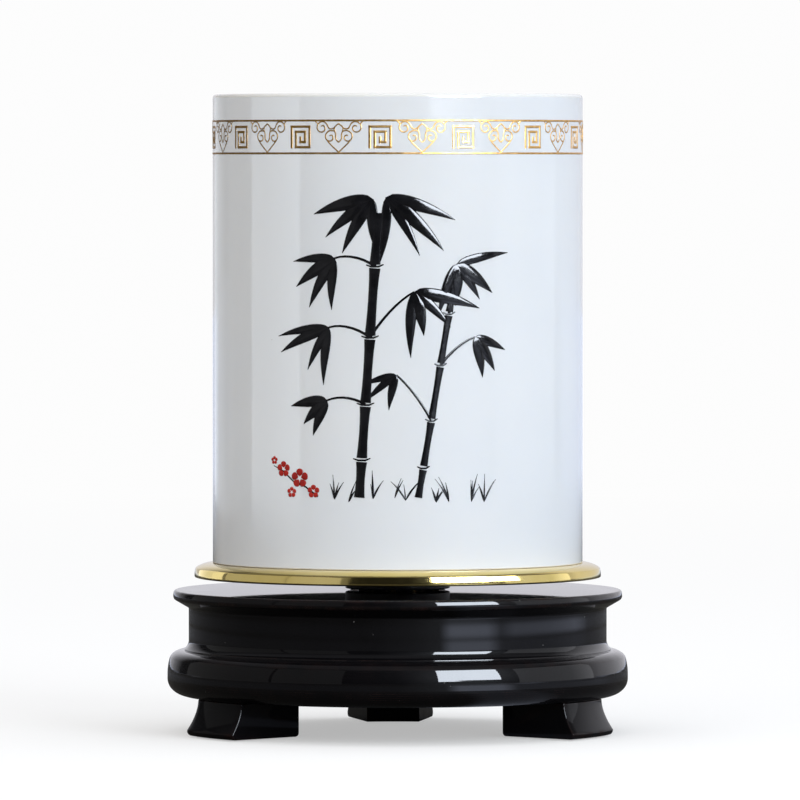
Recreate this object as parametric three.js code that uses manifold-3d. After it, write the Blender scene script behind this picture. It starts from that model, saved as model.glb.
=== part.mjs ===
// Revolving brush pot: a glazed porcelain cylinder on a gold-plated tray, which turns on a thrust ball
// bearing let into a black lacquered wooden stand with three feet.
// Millimetres, +Z up. The origin is on the desk, under the middle of the stand. The back foot is on +Y.

import * as THREE from 'three';
import { mergeVertices } from 'three/addons/utils/BufferGeometryUtils.js';
import Module from 'manifold-3d';

const wasm = await Module();
wasm.setup();

// Round pieces are drawn with this many flats. A multiple of 8 looks the same after each eighth turn.
const turnedFlats = 64;
const hardwareFlats = 24;
const ballFlats = 10;
const ballRings = 7;

// Porcelain pot
const potDiameter = 95.5;
const potHeight = 120.75;
const potWall = 4;
const potFloor = 5;
const potFootRecess = 5;
const potFootWidth = 9.5;
const potFootRound = 0.6;
const potRimRound = 1.2;
const potInnerFillet = 4;

// Gold-plated tray, pressed from sheet with its rim turned down
const trayDiameter = 105;
const traySheet = 1.2;
const trayRimHeight = 3.8;
const trayGap = 3.3; // from the stand's top to the tray's rim
const trayLowerRound = 0.4;
const trayHollowWidth = 4;
const trayHollowHeight = 1.9;
// The rounded outlines below are arcs that run on from one another, from the widest line up to the
// top. Each has its width, height, the degrees by which the outline has turned at its end, and steps.
const trayOutline = [[7.5, 7.5, 14, 2], [0.5, 0.5, 52, 2], [5.66, 2.55, 90, 4]];

// Glue bead in the corner between the pot's foot ring and the tray
const glueWidth = 3;
const glueHeight = 2;

// Thrust ball bearing: two grooved washers and a caged ring of balls
const bearingBore = 10.2;
const bearingDiameter = 24;
const bearingHeight = 9;
const raceThickness = 2.6;
const ballDiameter = 4.76;
const ballCount = 9;
const ballPitchDiameter = 17;
const ballClearance = 0.1;
const cageThickness = 1.4;
const cageBore = 10.8;
const cageDiameter = 23.4;

// Hub cap: the black moulding over the bearing, seen between the tray and the stand
const hubDiameter = 27;
const hubWeb = 2.2;
const hubRunningGap = 0.4;

// Pivot: carriage bolt, spacer tube, washer and lock nut
const boltDiameter = 6;
const boltLength = 30;
const boltHeadDiameter = 14;
const boltHeadHeight = 3.3;
const boltProud = 0.85; // thread past the nut
const boltEndChamfer = 0.6;
const nutAcrossFlats = 10;
const nutHeight = 6;
const nutInsertHeight = 1.8;
const nutInsertDiameter = 8.2;
const washerDiameter = 20;
const washerThickness = 1.6;
const spacerDiameter = 9.6;
const bushWall = 1.6;
const bushFlangeDiameter = 20;
const bushFlangeThickness = 1.2;

// Clearances
const pinClearance = 0.15; // round a bolt, dowel or insert in its hole
const seatClearance = 0.3; // round a pad, race or bush in its seat
const runningClearance = 0.3; // between faces that turn past each other
const cutOverrun = 1; // how far a cutting tool runs past the face that it cuts

// Stand: one turned block
const standHeight = 27.2;
const standTopDiameter = 116;
const standEdgeOutline = [[4.4, 4.4, 15, 2], [0.62, 0.62, 90, 3]];
const standUnderRound = 1.1;
const underSlopeDegrees = 30; // of the sloping face under the edge
const upperCove = 0.6;
const waistTopDepth = 4.9;
const waistDiameter = 108;
const lowerCove = 2.7;
const lowerCoveHeight = 2.15;
const quirkHeight = 0.4; // the little step between the cove and the bead
const quirkLean = 0.08;
const beadDiameter = 119; // the bold rounded moulding at the foot of the stand
const beadHeight = 11.65;
const beadOutline = [[13.6, 13.6, 17, 2], [3.5, 2.5, 90, 5]];
const beadUnderRound = 5.2;
const beadUnderRoundHeight = 4.3;
const nutWellDiameter = 26;

// Feet: three sectors with a flared outer face
const footCount = 3;
const footHeight = 9.3;
const footInnerSetIn = 24.9; // this and the next three are set in from the bead's widest line
const footNeckSetIn = 4.8;
const footFlareSetIn = 1.7;
const dowelSetIn = 14;
const footSpanDegrees = 22.8;
const footFlareRise = 1.4; // height of the flare's widest point over the foot's underside
const footNeckRise = 5.8; // height from which the neck begins to flare
const footToeRound = 1.2;
const footHeelRound = 1;
const backFootDegrees = 90;
const footNames = ['back', 'left', 'right'];
const dowelDiameter = 5;
const dowelLength = 12;
const dowelInFoot = 5.4;

// Felt
const padDiameter = 11;
const padThickness = 1.5;
const padProud = 0.3;
const feltCoverDiameter = 66;
const feltCoverThickness = 1;

// Heights of the stack, from the desk up
const footBottom = padProud;
const standBottom = footBottom + footHeight;
const standTop = standBottom + standHeight;
const trayRimBottom = standTop + trayGap;
const trayTop = trayRimBottom + trayRimHeight;
const trayUnderside = trayTop - traySheet;
const bearingTop = trayUnderside - hubWeb;
const bearingSeat = bearingTop - bearingHeight;
const ballHeight = bearingSeat + bearingHeight / 2;
const boltEnd = trayTop - boltLength;
const nutBottom = boltEnd + boltProud;
const washerBottom = nutBottom + nutHeight;
const washerTop = washerBottom + washerThickness;
const flangeBottom = washerTop + runningClearance;
const nutWellTop = flangeBottom + bushFlangeThickness;
const dowelBottom = standBottom - dowelInFoot;

// Feet and dowels under the bead
const beadRadius = beadDiameter / 2;
const footInnerRadius = beadRadius - footInnerSetIn;
const footNeckRadius = beadRadius - footNeckSetIn;
const footFlareRadius = beadRadius - footFlareSetIn;
const dowelRadiusFromAxis = beadRadius - dowelSetIn;

// Bores that follow from what passes through them
const bushBore = spacerDiameter + 2 * runningClearance;
const bushDiameter = bushBore + 2 * bushWall;
const standBore = bushDiameter + 2 * seatClearance;
const bearingSeatDiameter = bearingDiameter + 2 * seatClearance;
const dowelHoleDiameter = dowelDiameter + 2 * pinClearance;
const boltHole = boltDiameter + 2 * pinClearance;

// Materials
const porcelain = new THREE.MeshStandardMaterial({ color: 0xe9eaee, roughness: 0.08, metalness: 0 });
const gold = new THREE.MeshStandardMaterial({ color: 0xd9b24c, roughness: 0.12, metalness: 1 });
const lacquer = new THREE.MeshStandardMaterial({ color: 0x0b0a0c, roughness: 0.12, metalness: 0 });
const steel = new THREE.MeshStandardMaterial({ color: 0xb9bcc0, roughness: 0.25, metalness: 1 });
const brass = new THREE.MeshStandardMaterial({ color: 0xb9975b, roughness: 0.3, metalness: 1 });
const blackNylon = new THREE.MeshStandardMaterial({ color: 0x121214, roughness: 0.45, metalness: 0 });
const whiteNylon = new THREE.MeshStandardMaterial({ color: 0xd8d6cc, roughness: 0.5, metalness: 0 });
const beech = new THREE.MeshStandardMaterial({ color: 0xc79a66, roughness: 0.7, metalness: 0 });
const felt = new THREE.MeshStandardMaterial({ color: 0x17161a, roughness: 0.95, metalness: 0 });
const glue = new THREE.MeshStandardMaterial({ color: 0xdedccf, roughness: 0.4, metalness: 0 });

// Points [radius, height] along part of an ellipse, from one angle to another, in degrees.
function curve(centreRadius, centreHeight, width, height, fromDegrees, toDegrees, steps) {
  return Array.from({ length: steps + 1 }, (unused, i) => {
    const angle = THREE.MathUtils.degToRad(fromDegrees + ((toDegrees - fromDegrees) * i) / steps);
    return [centreRadius + width * Math.cos(angle), centreHeight + height * Math.sin(angle)];
  });
}

// Points along arcs that run on from one another without a kink, from the widest line up to the top.
function rounded(widest, top, arcs) {
  const points = [[0, 0]];
  let lastTurn = 0;
  for (const [width, height, nextTurn, steps] of arcs) {
    const [from, to] = [lastTurn, nextTurn].map((degrees) => {
      const turn = THREE.MathUtils.degToRad(degrees);
      return THREE.MathUtils.radToDeg(Math.atan2(height * Math.sin(turn), width * Math.cos(turn)));
    });
    const arc = curve(0, 0, width, height, from, to, steps);
    const [radius, level] = points.at(-1);
    points.push(...arc.slice(1).map(([x, z]) => [radius + x - arc[0][0], level + z - arc[0][1]]));
    lastTurn = nextTurn;
  }
  const rise = points.at(-1)[1];
  return points.map(([radius, level]) => [widest + radius, top - rise + level]);
}

// Turns a profile of [radius, height] points about Z. Points run anticlockwise: out along the
// underside, up the outside and back in. A profile that misses the axis closes on itself.
function turned(profile, flats = turnedFlats) {
  const points = profile.map(([radius, height]) => new THREE.Vector2(radius, height));
  const startsAndEndsOnAxis = profile[0][0] === 0 && profile.at(-1)[0] === 0;
  if (!startsAndEndsOnAxis) points.push(points[0].clone());
  return new THREE.LatheGeometry(points, flats).rotateX(Math.PI / 2);
}

function ring(innerRadius, outerRadius, bottom, top, flats = hardwareFlats) {
  const section = [[innerRadius, bottom], [outerRadius, bottom], [outerRadius, top], [innerRadius, top]];
  return turned(section, flats);
}

function disc(radius, bottom, top, flats = hardwareFlats) {
  return turned([[0, bottom], [radius, bottom], [radius, top], [0, top]], flats);
}

function block(width, depth, bottom, top) {
  return new THREE.BoxGeometry(width, depth, top - bottom).translate(0, 0, (bottom + top) / 2);
}

// Solids for cutting and joining, and back to a geometry.
function solid(geometry) {
  const bare = geometry.index ? geometry.toNonIndexed() : geometry.clone();
  bare.deleteAttribute('normal');
  bare.deleteAttribute('uv');
  const merged = mergeVertices(bare, 1e-4);
  return new wasm.Manifold(new wasm.Mesh({
    numProp: 3,
    vertProperties: merged.attributes.position.array,
    triVerts: new Uint32Array(merged.index.array),
  }));
}

function geometryOf(made) {
  const mesh = made.getMesh();
  const geometry = new THREE.BufferGeometry();
  geometry.setAttribute('position', new THREE.BufferAttribute(new Float32Array(mesh.vertProperties), 3));
  geometry.setIndex(new THREE.BufferAttribute(new Uint32Array(mesh.triVerts), 1));
  geometry.computeVertexNormals();
  return geometry;
}

function cut(geometry, ...tools) {
  return geometryOf(tools.reduce((made, tool) => made.subtract(solid(tool)), solid(geometry)));
}

function joined(...geometries) {
  return geometryOf(geometries.map(solid).reduce((made, next) => made.add(next)));
}

const brushPot = new THREE.Group();

function place(name, geometry, material, turnDegrees = 0) {
  const mesh = new THREE.Mesh(geometry, material);
  mesh.name = name;
  mesh.rotation.z = THREE.MathUtils.degToRad(turnDegrees);
  brushPot.add(mesh);
}

// The pot is slip-cast, with an unglazed foot ring that stands on the tray.
function potGeometry() {
  const outer = potDiameter / 2;
  const inner = outer - potWall;
  const footInner = outer - potFootWidth;
  const bottom = trayTop;
  const rim = bottom + potHeight;
  const floorTop = bottom + potFootRecess + potFloor;
  return turned([
    [0, bottom + potFootRecess],
    [footInner, bottom + potFootRecess],
    [footInner, bottom],
    ...curve(outer - potFootRound, bottom + potFootRound, potFootRound, potFootRound, -90, 0, 2),
    ...curve(outer - potRimRound, rim - potRimRound, potRimRound, potRimRound, 0, 90, 3),
    ...curve(inner + potRimRound, rim - potRimRound, potRimRound, potRimRound, 90, 180, 3),
    ...curve(inner - potInnerFillet, floorTop + potInnerFillet, potInnerFillet, potInnerFillet, 0, -90, 3),
    [0, floorTop],
  ]);
}

// The tray is a disc that slopes down outside the pot to a turned-down rim. It has a square hole for
// the bolt's neck.
function trayGeometry() {
  const outer = trayDiameter / 2;
  const inner = outer - traySheet;
  const dish = turned([
    [0, trayUnderside],
    ...curve(inner - trayHollowWidth, trayUnderside - trayHollowHeight,
      trayHollowWidth, trayHollowHeight, 90, 0, 3),
    [inner, trayRimBottom],
    ...curve(outer - trayLowerRound, trayRimBottom + trayLowerRound,
      trayLowerRound, trayLowerRound, -90, 0, 2),
    ...rounded(outer, trayTop, trayOutline).slice(1),
    [0, trayTop],
  ]);
  return cut(dish, block(boltHole, boltHole, trayUnderside - cutOverrun, trayTop + cutOverrun));
}

// A washer of the bearing, with its ball groove facing up or down.
function raceGeometry(bottom, grooveFacesUp) {
  const inner = bearingBore / 2;
  const outer = bearingDiameter / 2;
  const top = bottom + raceThickness;
  const pitch = ballPitchDiameter / 2;
  const groove = ballDiameter / 2 + ballClearance;
  const face = grooveFacesUp ? top : bottom;
  const reach = THREE.MathUtils.radToDeg(Math.acos(Math.abs(face - ballHeight) / groove));
  if (grooveFacesUp) {
    return turned([
      [inner, bottom], [outer, bottom], [outer, top],
      ...curve(pitch, ballHeight, groove, groove, -90 + reach, -90 - reach, 6),
      [inner, top],
    ], hardwareFlats);
  }
  return turned([
    [inner, bottom],
    ...curve(pitch, ballHeight, groove, groove, 90 + reach, 90 - reach, 6),
    [outer, bottom], [outer, top], [inner, top],
  ], hardwareFlats);
}

// The cage is a flat ring with a round pocket for each ball.
function cageGeometry() {
  const outline = new THREE.Shape().absarc(0, 0, cageDiameter / 2, 0, 2 * Math.PI);
  outline.holes.push(new THREE.Path().absarc(0, 0, cageBore / 2, 0, 2 * Math.PI, true));
  const pocketRadius = ballDiameter / 2 + pinClearance;
  for (let i = 0; i < ballCount; i++) {
    const angle = (2 * Math.PI * i) / ballCount;
    const pitch = ballPitchDiameter / 2;
    const pocket = new THREE.Path();
    pocket.absarc(pitch * Math.cos(angle), pitch * Math.sin(angle), pocketRadius, 0, 2 * Math.PI, true);
    outline.holes.push(pocket);
  }
  const plate = new THREE.ExtrudeGeometry(outline, {
    depth: cageThickness,
    bevelEnabled: false,
    curveSegments: hardwareFlats / 2,
  });
  return plate.translate(0, 0, ballHeight - cageThickness / 2);
}

function ballGeometry(index) {
  const angle = (2 * Math.PI * index) / ballCount;
  const pitch = ballPitchDiameter / 2;
  return new THREE.SphereGeometry(ballDiameter / 2, ballFlats, ballRings)
    .rotateX(Math.PI / 2)
    .translate(pitch * Math.cos(angle), pitch * Math.sin(angle), ballHeight);
}

// The hub cap's skirt hangs round the upper washer and hides the bearing's seat.
function hubCapGeometry() {
  const outer = hubDiameter / 2;
  const inner = bearingSeatDiameter / 2;
  const skirtBottom = standTop + hubRunningGap;
  const cap = turned([
    [0, bearingTop],
    [inner, bearingTop],
    [inner, skirtBottom],
    [outer, skirtBottom],
    [outer, trayUnderside],
    [0, trayUnderside],
  ], hardwareFlats);
  return cut(cap, block(boltHole, boltHole, bearingTop - cutOverrun, trayUnderside + cutOverrun));
}

// Carriage bolt: domed head, a square neck that keys into the tray and the hub cap, and a plain shank.
function boltGeometry() {
  const radius = boltDiameter / 2;
  const neckBottom = bearingTop;
  const domeRadius = (boltHeadDiameter ** 2 / 4 + boltHeadHeight ** 2) / (2 * boltHeadHeight);
  const domeCentre = trayTop + boltHeadHeight - domeRadius;
  const domeEdge = THREE.MathUtils.radToDeg(Math.asin((trayTop - domeCentre) / domeRadius));
  const domePoints = curve(0, domeCentre, domeRadius, domeRadius, domeEdge, 90, 6);
  domePoints[domePoints.length - 1] = [0, trayTop + boltHeadHeight];
  const head = turned([[0, trayTop], ...domePoints], hardwareFlats);
  const neck = block(boltDiameter, boltDiameter, neckBottom, trayTop);
  const shank = turned([
    [0, boltEnd],
    [radius - boltEndChamfer, boltEnd],
    [radius, boltEnd + boltEndChamfer],
    [radius, neckBottom],
    [0, neckBottom],
  ], hardwareFlats);
  return joined(joined(head, neck), shank);
}

// Lock nut, with a counterbore in its lower end for the nylon insert.
function nutGeometry() {
  const corner = nutAcrossFlats / 2 / Math.cos(Math.PI / 6);
  const insertSeat = nutInsertDiameter / 2 + pinClearance;
  const top = nutBottom + nutHeight;
  const hexagon = turned([[0, nutBottom], [corner, nutBottom], [corner, top], [0, top]], 6);
  return cut(
    hexagon,
    disc(boltHole / 2, nutBottom - cutOverrun, top + cutOverrun),
    disc(insertSeat, nutBottom - cutOverrun, nutBottom + nutInsertHeight + pinClearance),
  );
}

// Flanged bush that lines the stand's bore. Its flange is the face that the washer turns under.
function bushGeometry() {
  const inner = bushBore / 2;
  const outer = bushDiameter / 2;
  const flange = bushFlangeDiameter / 2;
  return turned([
    [inner, flangeBottom],
    [flange, flangeBottom],
    [flange, nutWellTop],
    [outer, nutWellTop],
    [outer, bearingSeat],
    [inner, bearingSeat],
  ], hardwareFlats);
}

// The turned block: bold bead, quirk and cove, upright waist and a thin top that overhangs.
function standGeometry() {
  const waist = waistDiameter / 2;
  const edge = standTopDiameter / 2;
  const beadTop = standBottom + beadHeight;
  const coveFoot = beadTop + quirkHeight;
  const coveReach = THREE.MathUtils.radToDeg(Math.asin(lowerCoveHeight / lowerCove));
  const coveArc = curve(waist + lowerCove, coveFoot + lowerCoveHeight,
    lowerCove, lowerCove, 180 + coveReach, 180, 3);
  const edgeArc = rounded(edge, standTop, standEdgeOutline);
  const turnedBlock = turned([
    [nutWellDiameter / 2, standBottom],
    ...curve(beadRadius - beadUnderRound, standBottom + beadUnderRoundHeight,
      beadUnderRound, beadUnderRoundHeight, -90, 0, 5),
    ...rounded(beadRadius, beadTop, beadOutline),
    [coveArc[0][0] + quirkLean, beadTop],
    ...coveArc,
    ...curve(waist + upperCove, standTop - waistTopDepth,
      upperCove, upperCove, 180, 90 + underSlopeDegrees, 2),
    ...curve(edge - standUnderRound, edgeArc[0][1],
      standUnderRound, standUnderRound, underSlopeDegrees - 90, 0, 2),
    ...edgeArc.slice(1),
    [bearingSeatDiameter / 2, standTop],
    [bearingSeatDiameter / 2, bearingSeat],
    [standBore / 2, bearingSeat],
    [standBore / 2, nutWellTop],
    [nutWellDiameter / 2, nutWellTop],
  ]);
  const holeTop = dowelBottom + dowelLength + pinClearance;
  const holes = footNames.map((unused, i) => dowelHole(standBottom - cutOverrun, holeTop)
    .rotateZ(THREE.MathUtils.degToRad(footDegrees(i))));
  return cut(turnedBlock, ...holes);
}

function footDegrees(index) {
  return backFootDegrees + (360 / footCount) * index;
}

function dowelHole(bottom, top) {
  return disc(dowelHoleDiameter / 2, bottom, top, hardwareFlats).translate(dowelRadiusFromAxis, 0, 0);
}

// A foot is a slice of a turned ring, drawn on +X, with a blind hole above for its dowel and a
// shallow one below for its pad.
function footGeometry() {
  const flareTop = footBottom + footFlareRise;
  const neckToFlare = new THREE.QuadraticBezierCurve(
    new THREE.Vector2(footFlareRadius, flareTop),
    new THREE.Vector2(footNeckRadius, footBottom + footNeckRise),
    new THREE.Vector2(footNeckRadius, standBottom),
  );
  const wholeRing = turned([
    ...curve(footInnerRadius + footHeelRound, footBottom + footHeelRound,
      footHeelRound, footHeelRound, 180, 270, 2),
    ...curve(footFlareRadius - footToeRound, flareTop, footToeRound, footFlareRise, -90, 0, 3),
    ...neckToFlare.getPoints(6).slice(1).map((point) => [point.x, point.y]),
    [footInnerRadius, standBottom],
  ]);
  const halfSpan = THREE.MathUtils.degToRad(footSpanDegrees / 2);
  const reach = 2 * footFlareRadius;
  const slice = new THREE.Shape([
    new THREE.Vector2(0, 0),
    new THREE.Vector2(reach * Math.cos(halfSpan), -reach * Math.sin(halfSpan)),
    new THREE.Vector2(reach * Math.cos(halfSpan), reach * Math.sin(halfSpan)),
  ]);
  const wedge = new THREE.ExtrudeGeometry(slice, { depth: footHeight + 2 * cutOverrun, bevelEnabled: false })
    .translate(0, 0, footBottom - cutOverrun);
  const padSeat = disc(padDiameter / 2 + seatClearance, footBottom - cutOverrun, padThickness, hardwareFlats)
    .translate(dowelRadiusFromAxis, 0, 0);
  const sector = geometryOf(solid(wholeRing).intersect(solid(wedge)));
  return cut(sector, dowelHole(dowelBottom - pinClearance, standBottom + cutOverrun), padSeat);
}

place('pot', potGeometry(), porcelain);
const glueOuter = potDiameter / 2 - potFootWidth - seatClearance;
place('glue_bead', ring(glueOuter - glueWidth, glueOuter, trayTop, trayTop + glueHeight, turnedFlats), glue);
place('tray', trayGeometry(), gold);
place('hub_cap', hubCapGeometry(), blackNylon);
place('carriage_bolt', boltGeometry(), steel);
place('spacer_tube', ring(boltHole / 2, spacerDiameter / 2, washerTop, bearingTop), brass);
place('retaining_washer', ring(boltHole / 2, washerDiameter / 2, washerBottom, washerTop), steel);
place('lock_nut', nutGeometry(), steel);
const insertTop = nutBottom + nutInsertHeight;
place('lock_nut_insert', ring(boltHole / 2, nutInsertDiameter / 2, nutBottom, insertTop), whiteNylon);

place('upper_race', raceGeometry(bearingTop - raceThickness, false), steel);
place('lower_race', raceGeometry(bearingSeat, true), steel);
place('ball_cage', cageGeometry(), brass);
for (let i = 0; i < ballCount; i++) place(`ball_${i + 1}`, ballGeometry(i), steel);

place('stand', standGeometry(), lacquer);
place('pivot_bush', bushGeometry(), whiteNylon);
const feltCoverBottom = standBottom - feltCoverThickness;
place('felt_cover', disc(feltCoverDiameter / 2, feltCoverBottom, standBottom, turnedFlats), felt);
footNames.forEach((name, i) => {
  const turn = footDegrees(i);
  const dowel = disc(dowelDiameter / 2, dowelBottom, dowelBottom + dowelLength);
  const pad = disc(padDiameter / 2, 0, padThickness);
  place(`foot_${name}`, footGeometry(), lacquer, turn);
  place(`dowel_${name}`, dowel.translate(dowelRadiusFromAxis, 0, 0), beech, turn);
  place(`pad_${name}`, pad.translate(dowelRadiusFromAxis, 0, 0), felt, turn);
});

export default brushPot;
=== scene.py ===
import math
import random

import bmesh
import bpy
from mathutils import Matrix, Vector


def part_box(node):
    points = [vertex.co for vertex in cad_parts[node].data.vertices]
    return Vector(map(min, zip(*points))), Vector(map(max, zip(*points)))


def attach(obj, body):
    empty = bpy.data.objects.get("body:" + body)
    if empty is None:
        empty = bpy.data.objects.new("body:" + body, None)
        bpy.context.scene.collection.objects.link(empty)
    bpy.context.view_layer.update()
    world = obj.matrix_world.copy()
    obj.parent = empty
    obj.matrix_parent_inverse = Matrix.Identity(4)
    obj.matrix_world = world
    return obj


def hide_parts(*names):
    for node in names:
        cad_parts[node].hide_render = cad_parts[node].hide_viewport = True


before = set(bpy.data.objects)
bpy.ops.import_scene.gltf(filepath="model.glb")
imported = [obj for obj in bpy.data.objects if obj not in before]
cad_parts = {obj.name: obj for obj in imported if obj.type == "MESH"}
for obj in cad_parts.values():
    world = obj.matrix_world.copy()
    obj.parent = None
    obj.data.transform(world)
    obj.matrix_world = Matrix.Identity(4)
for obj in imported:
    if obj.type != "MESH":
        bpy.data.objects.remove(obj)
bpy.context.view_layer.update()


# Stand. One hardwood block, turned with a thin overhanging top, an upright waist and a bold bead, and
# bored for the bearing and the pivot. It is sprayed with black lacquer, which thins on its edges.

mm = 0.001


class Term:
    """What a node's socket gives out. Arithmetic with terms and numbers adds the maths nodes for it."""

    def __init__(self, tree, socket):
        self.tree = tree
        self.socket = socket

    def __add__(self, other):
        return maths("ADD", self, other)

    def __sub__(self, other):
        return maths("SUBTRACT", self, other)

    def __rsub__(self, other):
        return maths("SUBTRACT", other, self)

    def __mul__(self, other):
        return maths("MULTIPLY", self, other)

    def __truediv__(self, other):
        return maths("DIVIDE", self, other)

    def __pow__(self, other):
        return maths("POWER", self, other)

    __radd__ = __add__
    __rmul__ = __mul__


def node(tree, kind, inputs=None, **settings):
    """Adds a node. Each input is given a value, or the term that feeds it."""
    made = tree.nodes.new(kind)
    for name, setting in settings.items():
        setattr(made, name, setting)
    feed(made, inputs or {})
    return made


def feed(made, inputs):
    for name, given in inputs.items():
        if isinstance(given, Term):
            given.tree.links.new(given.socket, made.inputs[name])
        else:
            made.inputs[name].default_value = given


def term(tree, kind, inputs=None, output=0, **settings):
    """Adds a node and gives one of its outputs as a term."""
    return Term(tree, node(tree, kind, inputs, **settings).outputs[output])


def maths(operation, *values):
    tree = next(value.tree for value in values if isinstance(value, Term))
    return term(tree, "ShaderNodeMath", dict(enumerate(values)), operation=operation)


def split(vector):
    outputs = node(vector.tree, "ShaderNodeSeparateXYZ", {0: vector}).outputs
    return [Term(vector.tree, output) for output in outputs]


def joined_up(*values):
    tree = next(value.tree for value in values if isinstance(value, Term))
    return term(tree, "ShaderNodeCombineXYZ", dict(enumerate(values)))


def new_tree(name, kind, **inputs):
    """A node tree with one output. Each input has its default, or else its kind. Gives back the tree,
    the inputs as terms, and the node that takes the output."""
    tree = bpy.data.node_groups.new(name, kind)
    for label, default in inputs.items():
        sort = default if isinstance(default, str) else type(default).__name__.title()
        made = tree.interface.new_socket(
            label.replace("_", " "), in_out="INPUT", socket_type="NodeSocket" + sort)
        if sort != default:
            made.default_value = default
    output, sort = ("Piece", "Geometry") if kind == "GeometryNodeTree" else ("Strength", "Float")
    tree.interface.new_socket(output, in_out="OUTPUT", socket_type="NodeSocket" + sort)
    given = tree.nodes.new("NodeGroupInput").outputs
    return tree, [Term(tree, given[i]) for i in range(len(inputs))], tree.nodes.new("NodeGroupOutput")


def captured(geometry, kind, name, field):
    """Keeps a field with a geometry. Gives back both."""
    keeper = node(geometry.tree, "GeometryNodeCaptureAttribute", {"Geometry": geometry})
    keeper.capture_items.new(kind, name)
    feed(keeper, {name: field})
    return [Term(geometry.tree, keeper.outputs[label]) for label in ("Geometry", name)]


def turning_tree():
    """Turns an outline of edges in the XZ plane about the Z axis, and closes its poles."""
    tree, (outline, flats, finish), result = new_tree(
        "turned_about_the_axis", "GeometryNodeTree", Outline="Geometry", Flats=64, Finish="Material")
    curve = term(tree, "GeometryNodeMeshToCurve", {"Mesh": outline})
    profile, place = captured(curve, "VECTOR", "Place", term(tree, "GeometryNodeInputPosition"))
    circle = term(tree, "GeometryNodeCurvePrimitiveCircle", {"Resolution": flats, "Radius": 1.0})
    path, step = captured(circle, "INT", "Step", term(tree, "GeometryNodeInputIndex"))
    swept = term(tree, "GeometryNodeCurveToMesh", {"Curve": path, "Profile Curve": profile})
    turn = step * math.tau / flats
    radius, _, height = split(place)
    around = joined_up(radius * maths("COSINE", turn), radius * maths("SINE", turn), height)
    turned = term(tree, "GeometryNodeSetPosition", {"Geometry": swept, "Position": around})
    merged = term(tree, "GeometryNodeMergeByDistance", {"Geometry": turned, "Distance": 1e-6})
    finish_tree(merged, finish, result)
    return tree


def finish_tree(geometry, finish, result):
    tree = geometry.tree
    smooth = term(tree, "GeometryNodeSetShadeSmooth", {"Geometry": geometry})
    whole = term(tree, "GeometryNodeRealizeInstances", {"Geometry": smooth})
    feed(result, {0: term(tree, "GeometryNodeSetMaterial", {"Geometry": whole, "Material": finish})})


def new_object(name, data):
    made = bpy.data.objects.new(name, data)
    bpy.context.scene.collection.objects.link(made)
    return made


def made_by_tree(name, mesh, tree, **inputs):
    """Runs a geometry tree on a mesh and keeps the result as a plain mesh, with its faces outwards."""
    piece = new_object(name, mesh)
    modifier = piece.modifiers.new("making", "NODES")
    modifier.node_group = tree
    for item in tree.interface.items_tree:
        label = item.name.replace(" ", "_")
        if item.in_out == "INPUT" and label in inputs:
            modifier[item.identifier] = inputs[label]
    settle(piece)
    return piece


def settle(piece):
    """Makes a piece's modifiers part of its mesh and points its faces outwards."""
    old = piece.data
    depsgraph = bpy.context.evaluated_depsgraph_get()
    made = bpy.data.meshes.new_from_object(piece.evaluated_get(depsgraph))
    piece.modifiers.clear()
    piece.data = made
    bpy.data.meshes.remove(old)
    made.name = piece.name
    made.calc_loop_triangles()
    corners = [[made.vertices[i].co for i in triangle.vertices] for triangle in made.loop_triangles]
    if sum(a.dot(b.cross(c)) for a, b, c in corners) < 0:
        made.flip_normals()


def keep(piece, body, slot, *nodes):
    """Hangs a piece on its body's empty, and hides the CAD nodes that it stands for."""
    if nodes:
        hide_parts(*nodes)
    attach(piece, body)


def held(outline, closed, margin=0.12, longest=4.0):
    """Adds points near both ends of each straight, and along it, so that shading bends at corners only."""
    following = outline[1:] + outline[:1] if closed else outline[1:]
    points = []
    for (x, z), stop in zip(outline, following):
        length = math.dist((x, z), stop)
        shares = [0.0]
        if length > 4 * margin:
            middle = max(1, round((length - 2 * margin) / longest))
            shares += [(margin + (length - 2 * margin) * i / middle) / length for i in range(middle + 1)]
        points += [(x + (stop[0] - x) * share, z + (stop[1] - z) * share) for share in shares]
    return points if closed else points + [outline[-1]]


def edge_strength(points, closed):
    """How sharply an anticlockwise outline turns outwards at each point, as one over the radius in mm."""
    strengths = []
    for i, point in enumerate(points):
        if not closed and i in (0, len(points) - 1):
            strengths.append(0.0)
            continue
        before, after = points[i - 1], points[(i + 1) % len(points)]
        a = (point[0] - before[0], point[1] - before[1])
        b = (after[0] - point[0], after[1] - point[1])
        turn = math.atan2(a[0] * b[1] - a[1] * b[0], a[0] * b[0] + a[1] * b[1])
        strengths.append(max(0.0, min(2.0, turn / ((math.hypot(*a) + math.hypot(*b)) / 2))))
    return strengths


def turned_piece(name, outline, finish, flats=192, closed=True):
    """A turned piece from an anticlockwise outline of (radius, height) in millimetres."""
    points = held(outline, closed)
    count = len(points)
    edges = [(i, (i + 1) % count) for i in range(count if closed else count - 1)]
    mesh = bpy.data.meshes.new(name + "_outline")
    mesh.from_pydata([(radius * mm, 0, height * mm) for radius, height in points], edges, [])
    mesh.attributes.new("edge", "FLOAT", "POINT").data.foreach_set("value", edge_strength(points, closed))
    return made_by_tree(name, mesh, turning, Flats=flats, Finish=finish)


def bend(radius, height, width, rise, start, stop, steps=8):
    """The (radius, height) points of part of an ellipse, from angle to angle."""
    angles = [math.radians(start + (stop - start) * i / steps) for i in range(steps + 1)]
    return [(radius + width * math.cos(a), height + rise * math.sin(a)) for a in angles]


def corner(radius, height, size, start, steps=3):
    """A corner rounded by a quarter circle, which begins at -90 (below), 0 (outside), 90 or 180 degrees."""
    outwards = 1 if start <= 0 else -1
    upwards = 1 if start in (0, 90) else -1
    return bend(radius - outwards * size, height - upwards * size, size, size, start, start + 90, steps)


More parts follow.
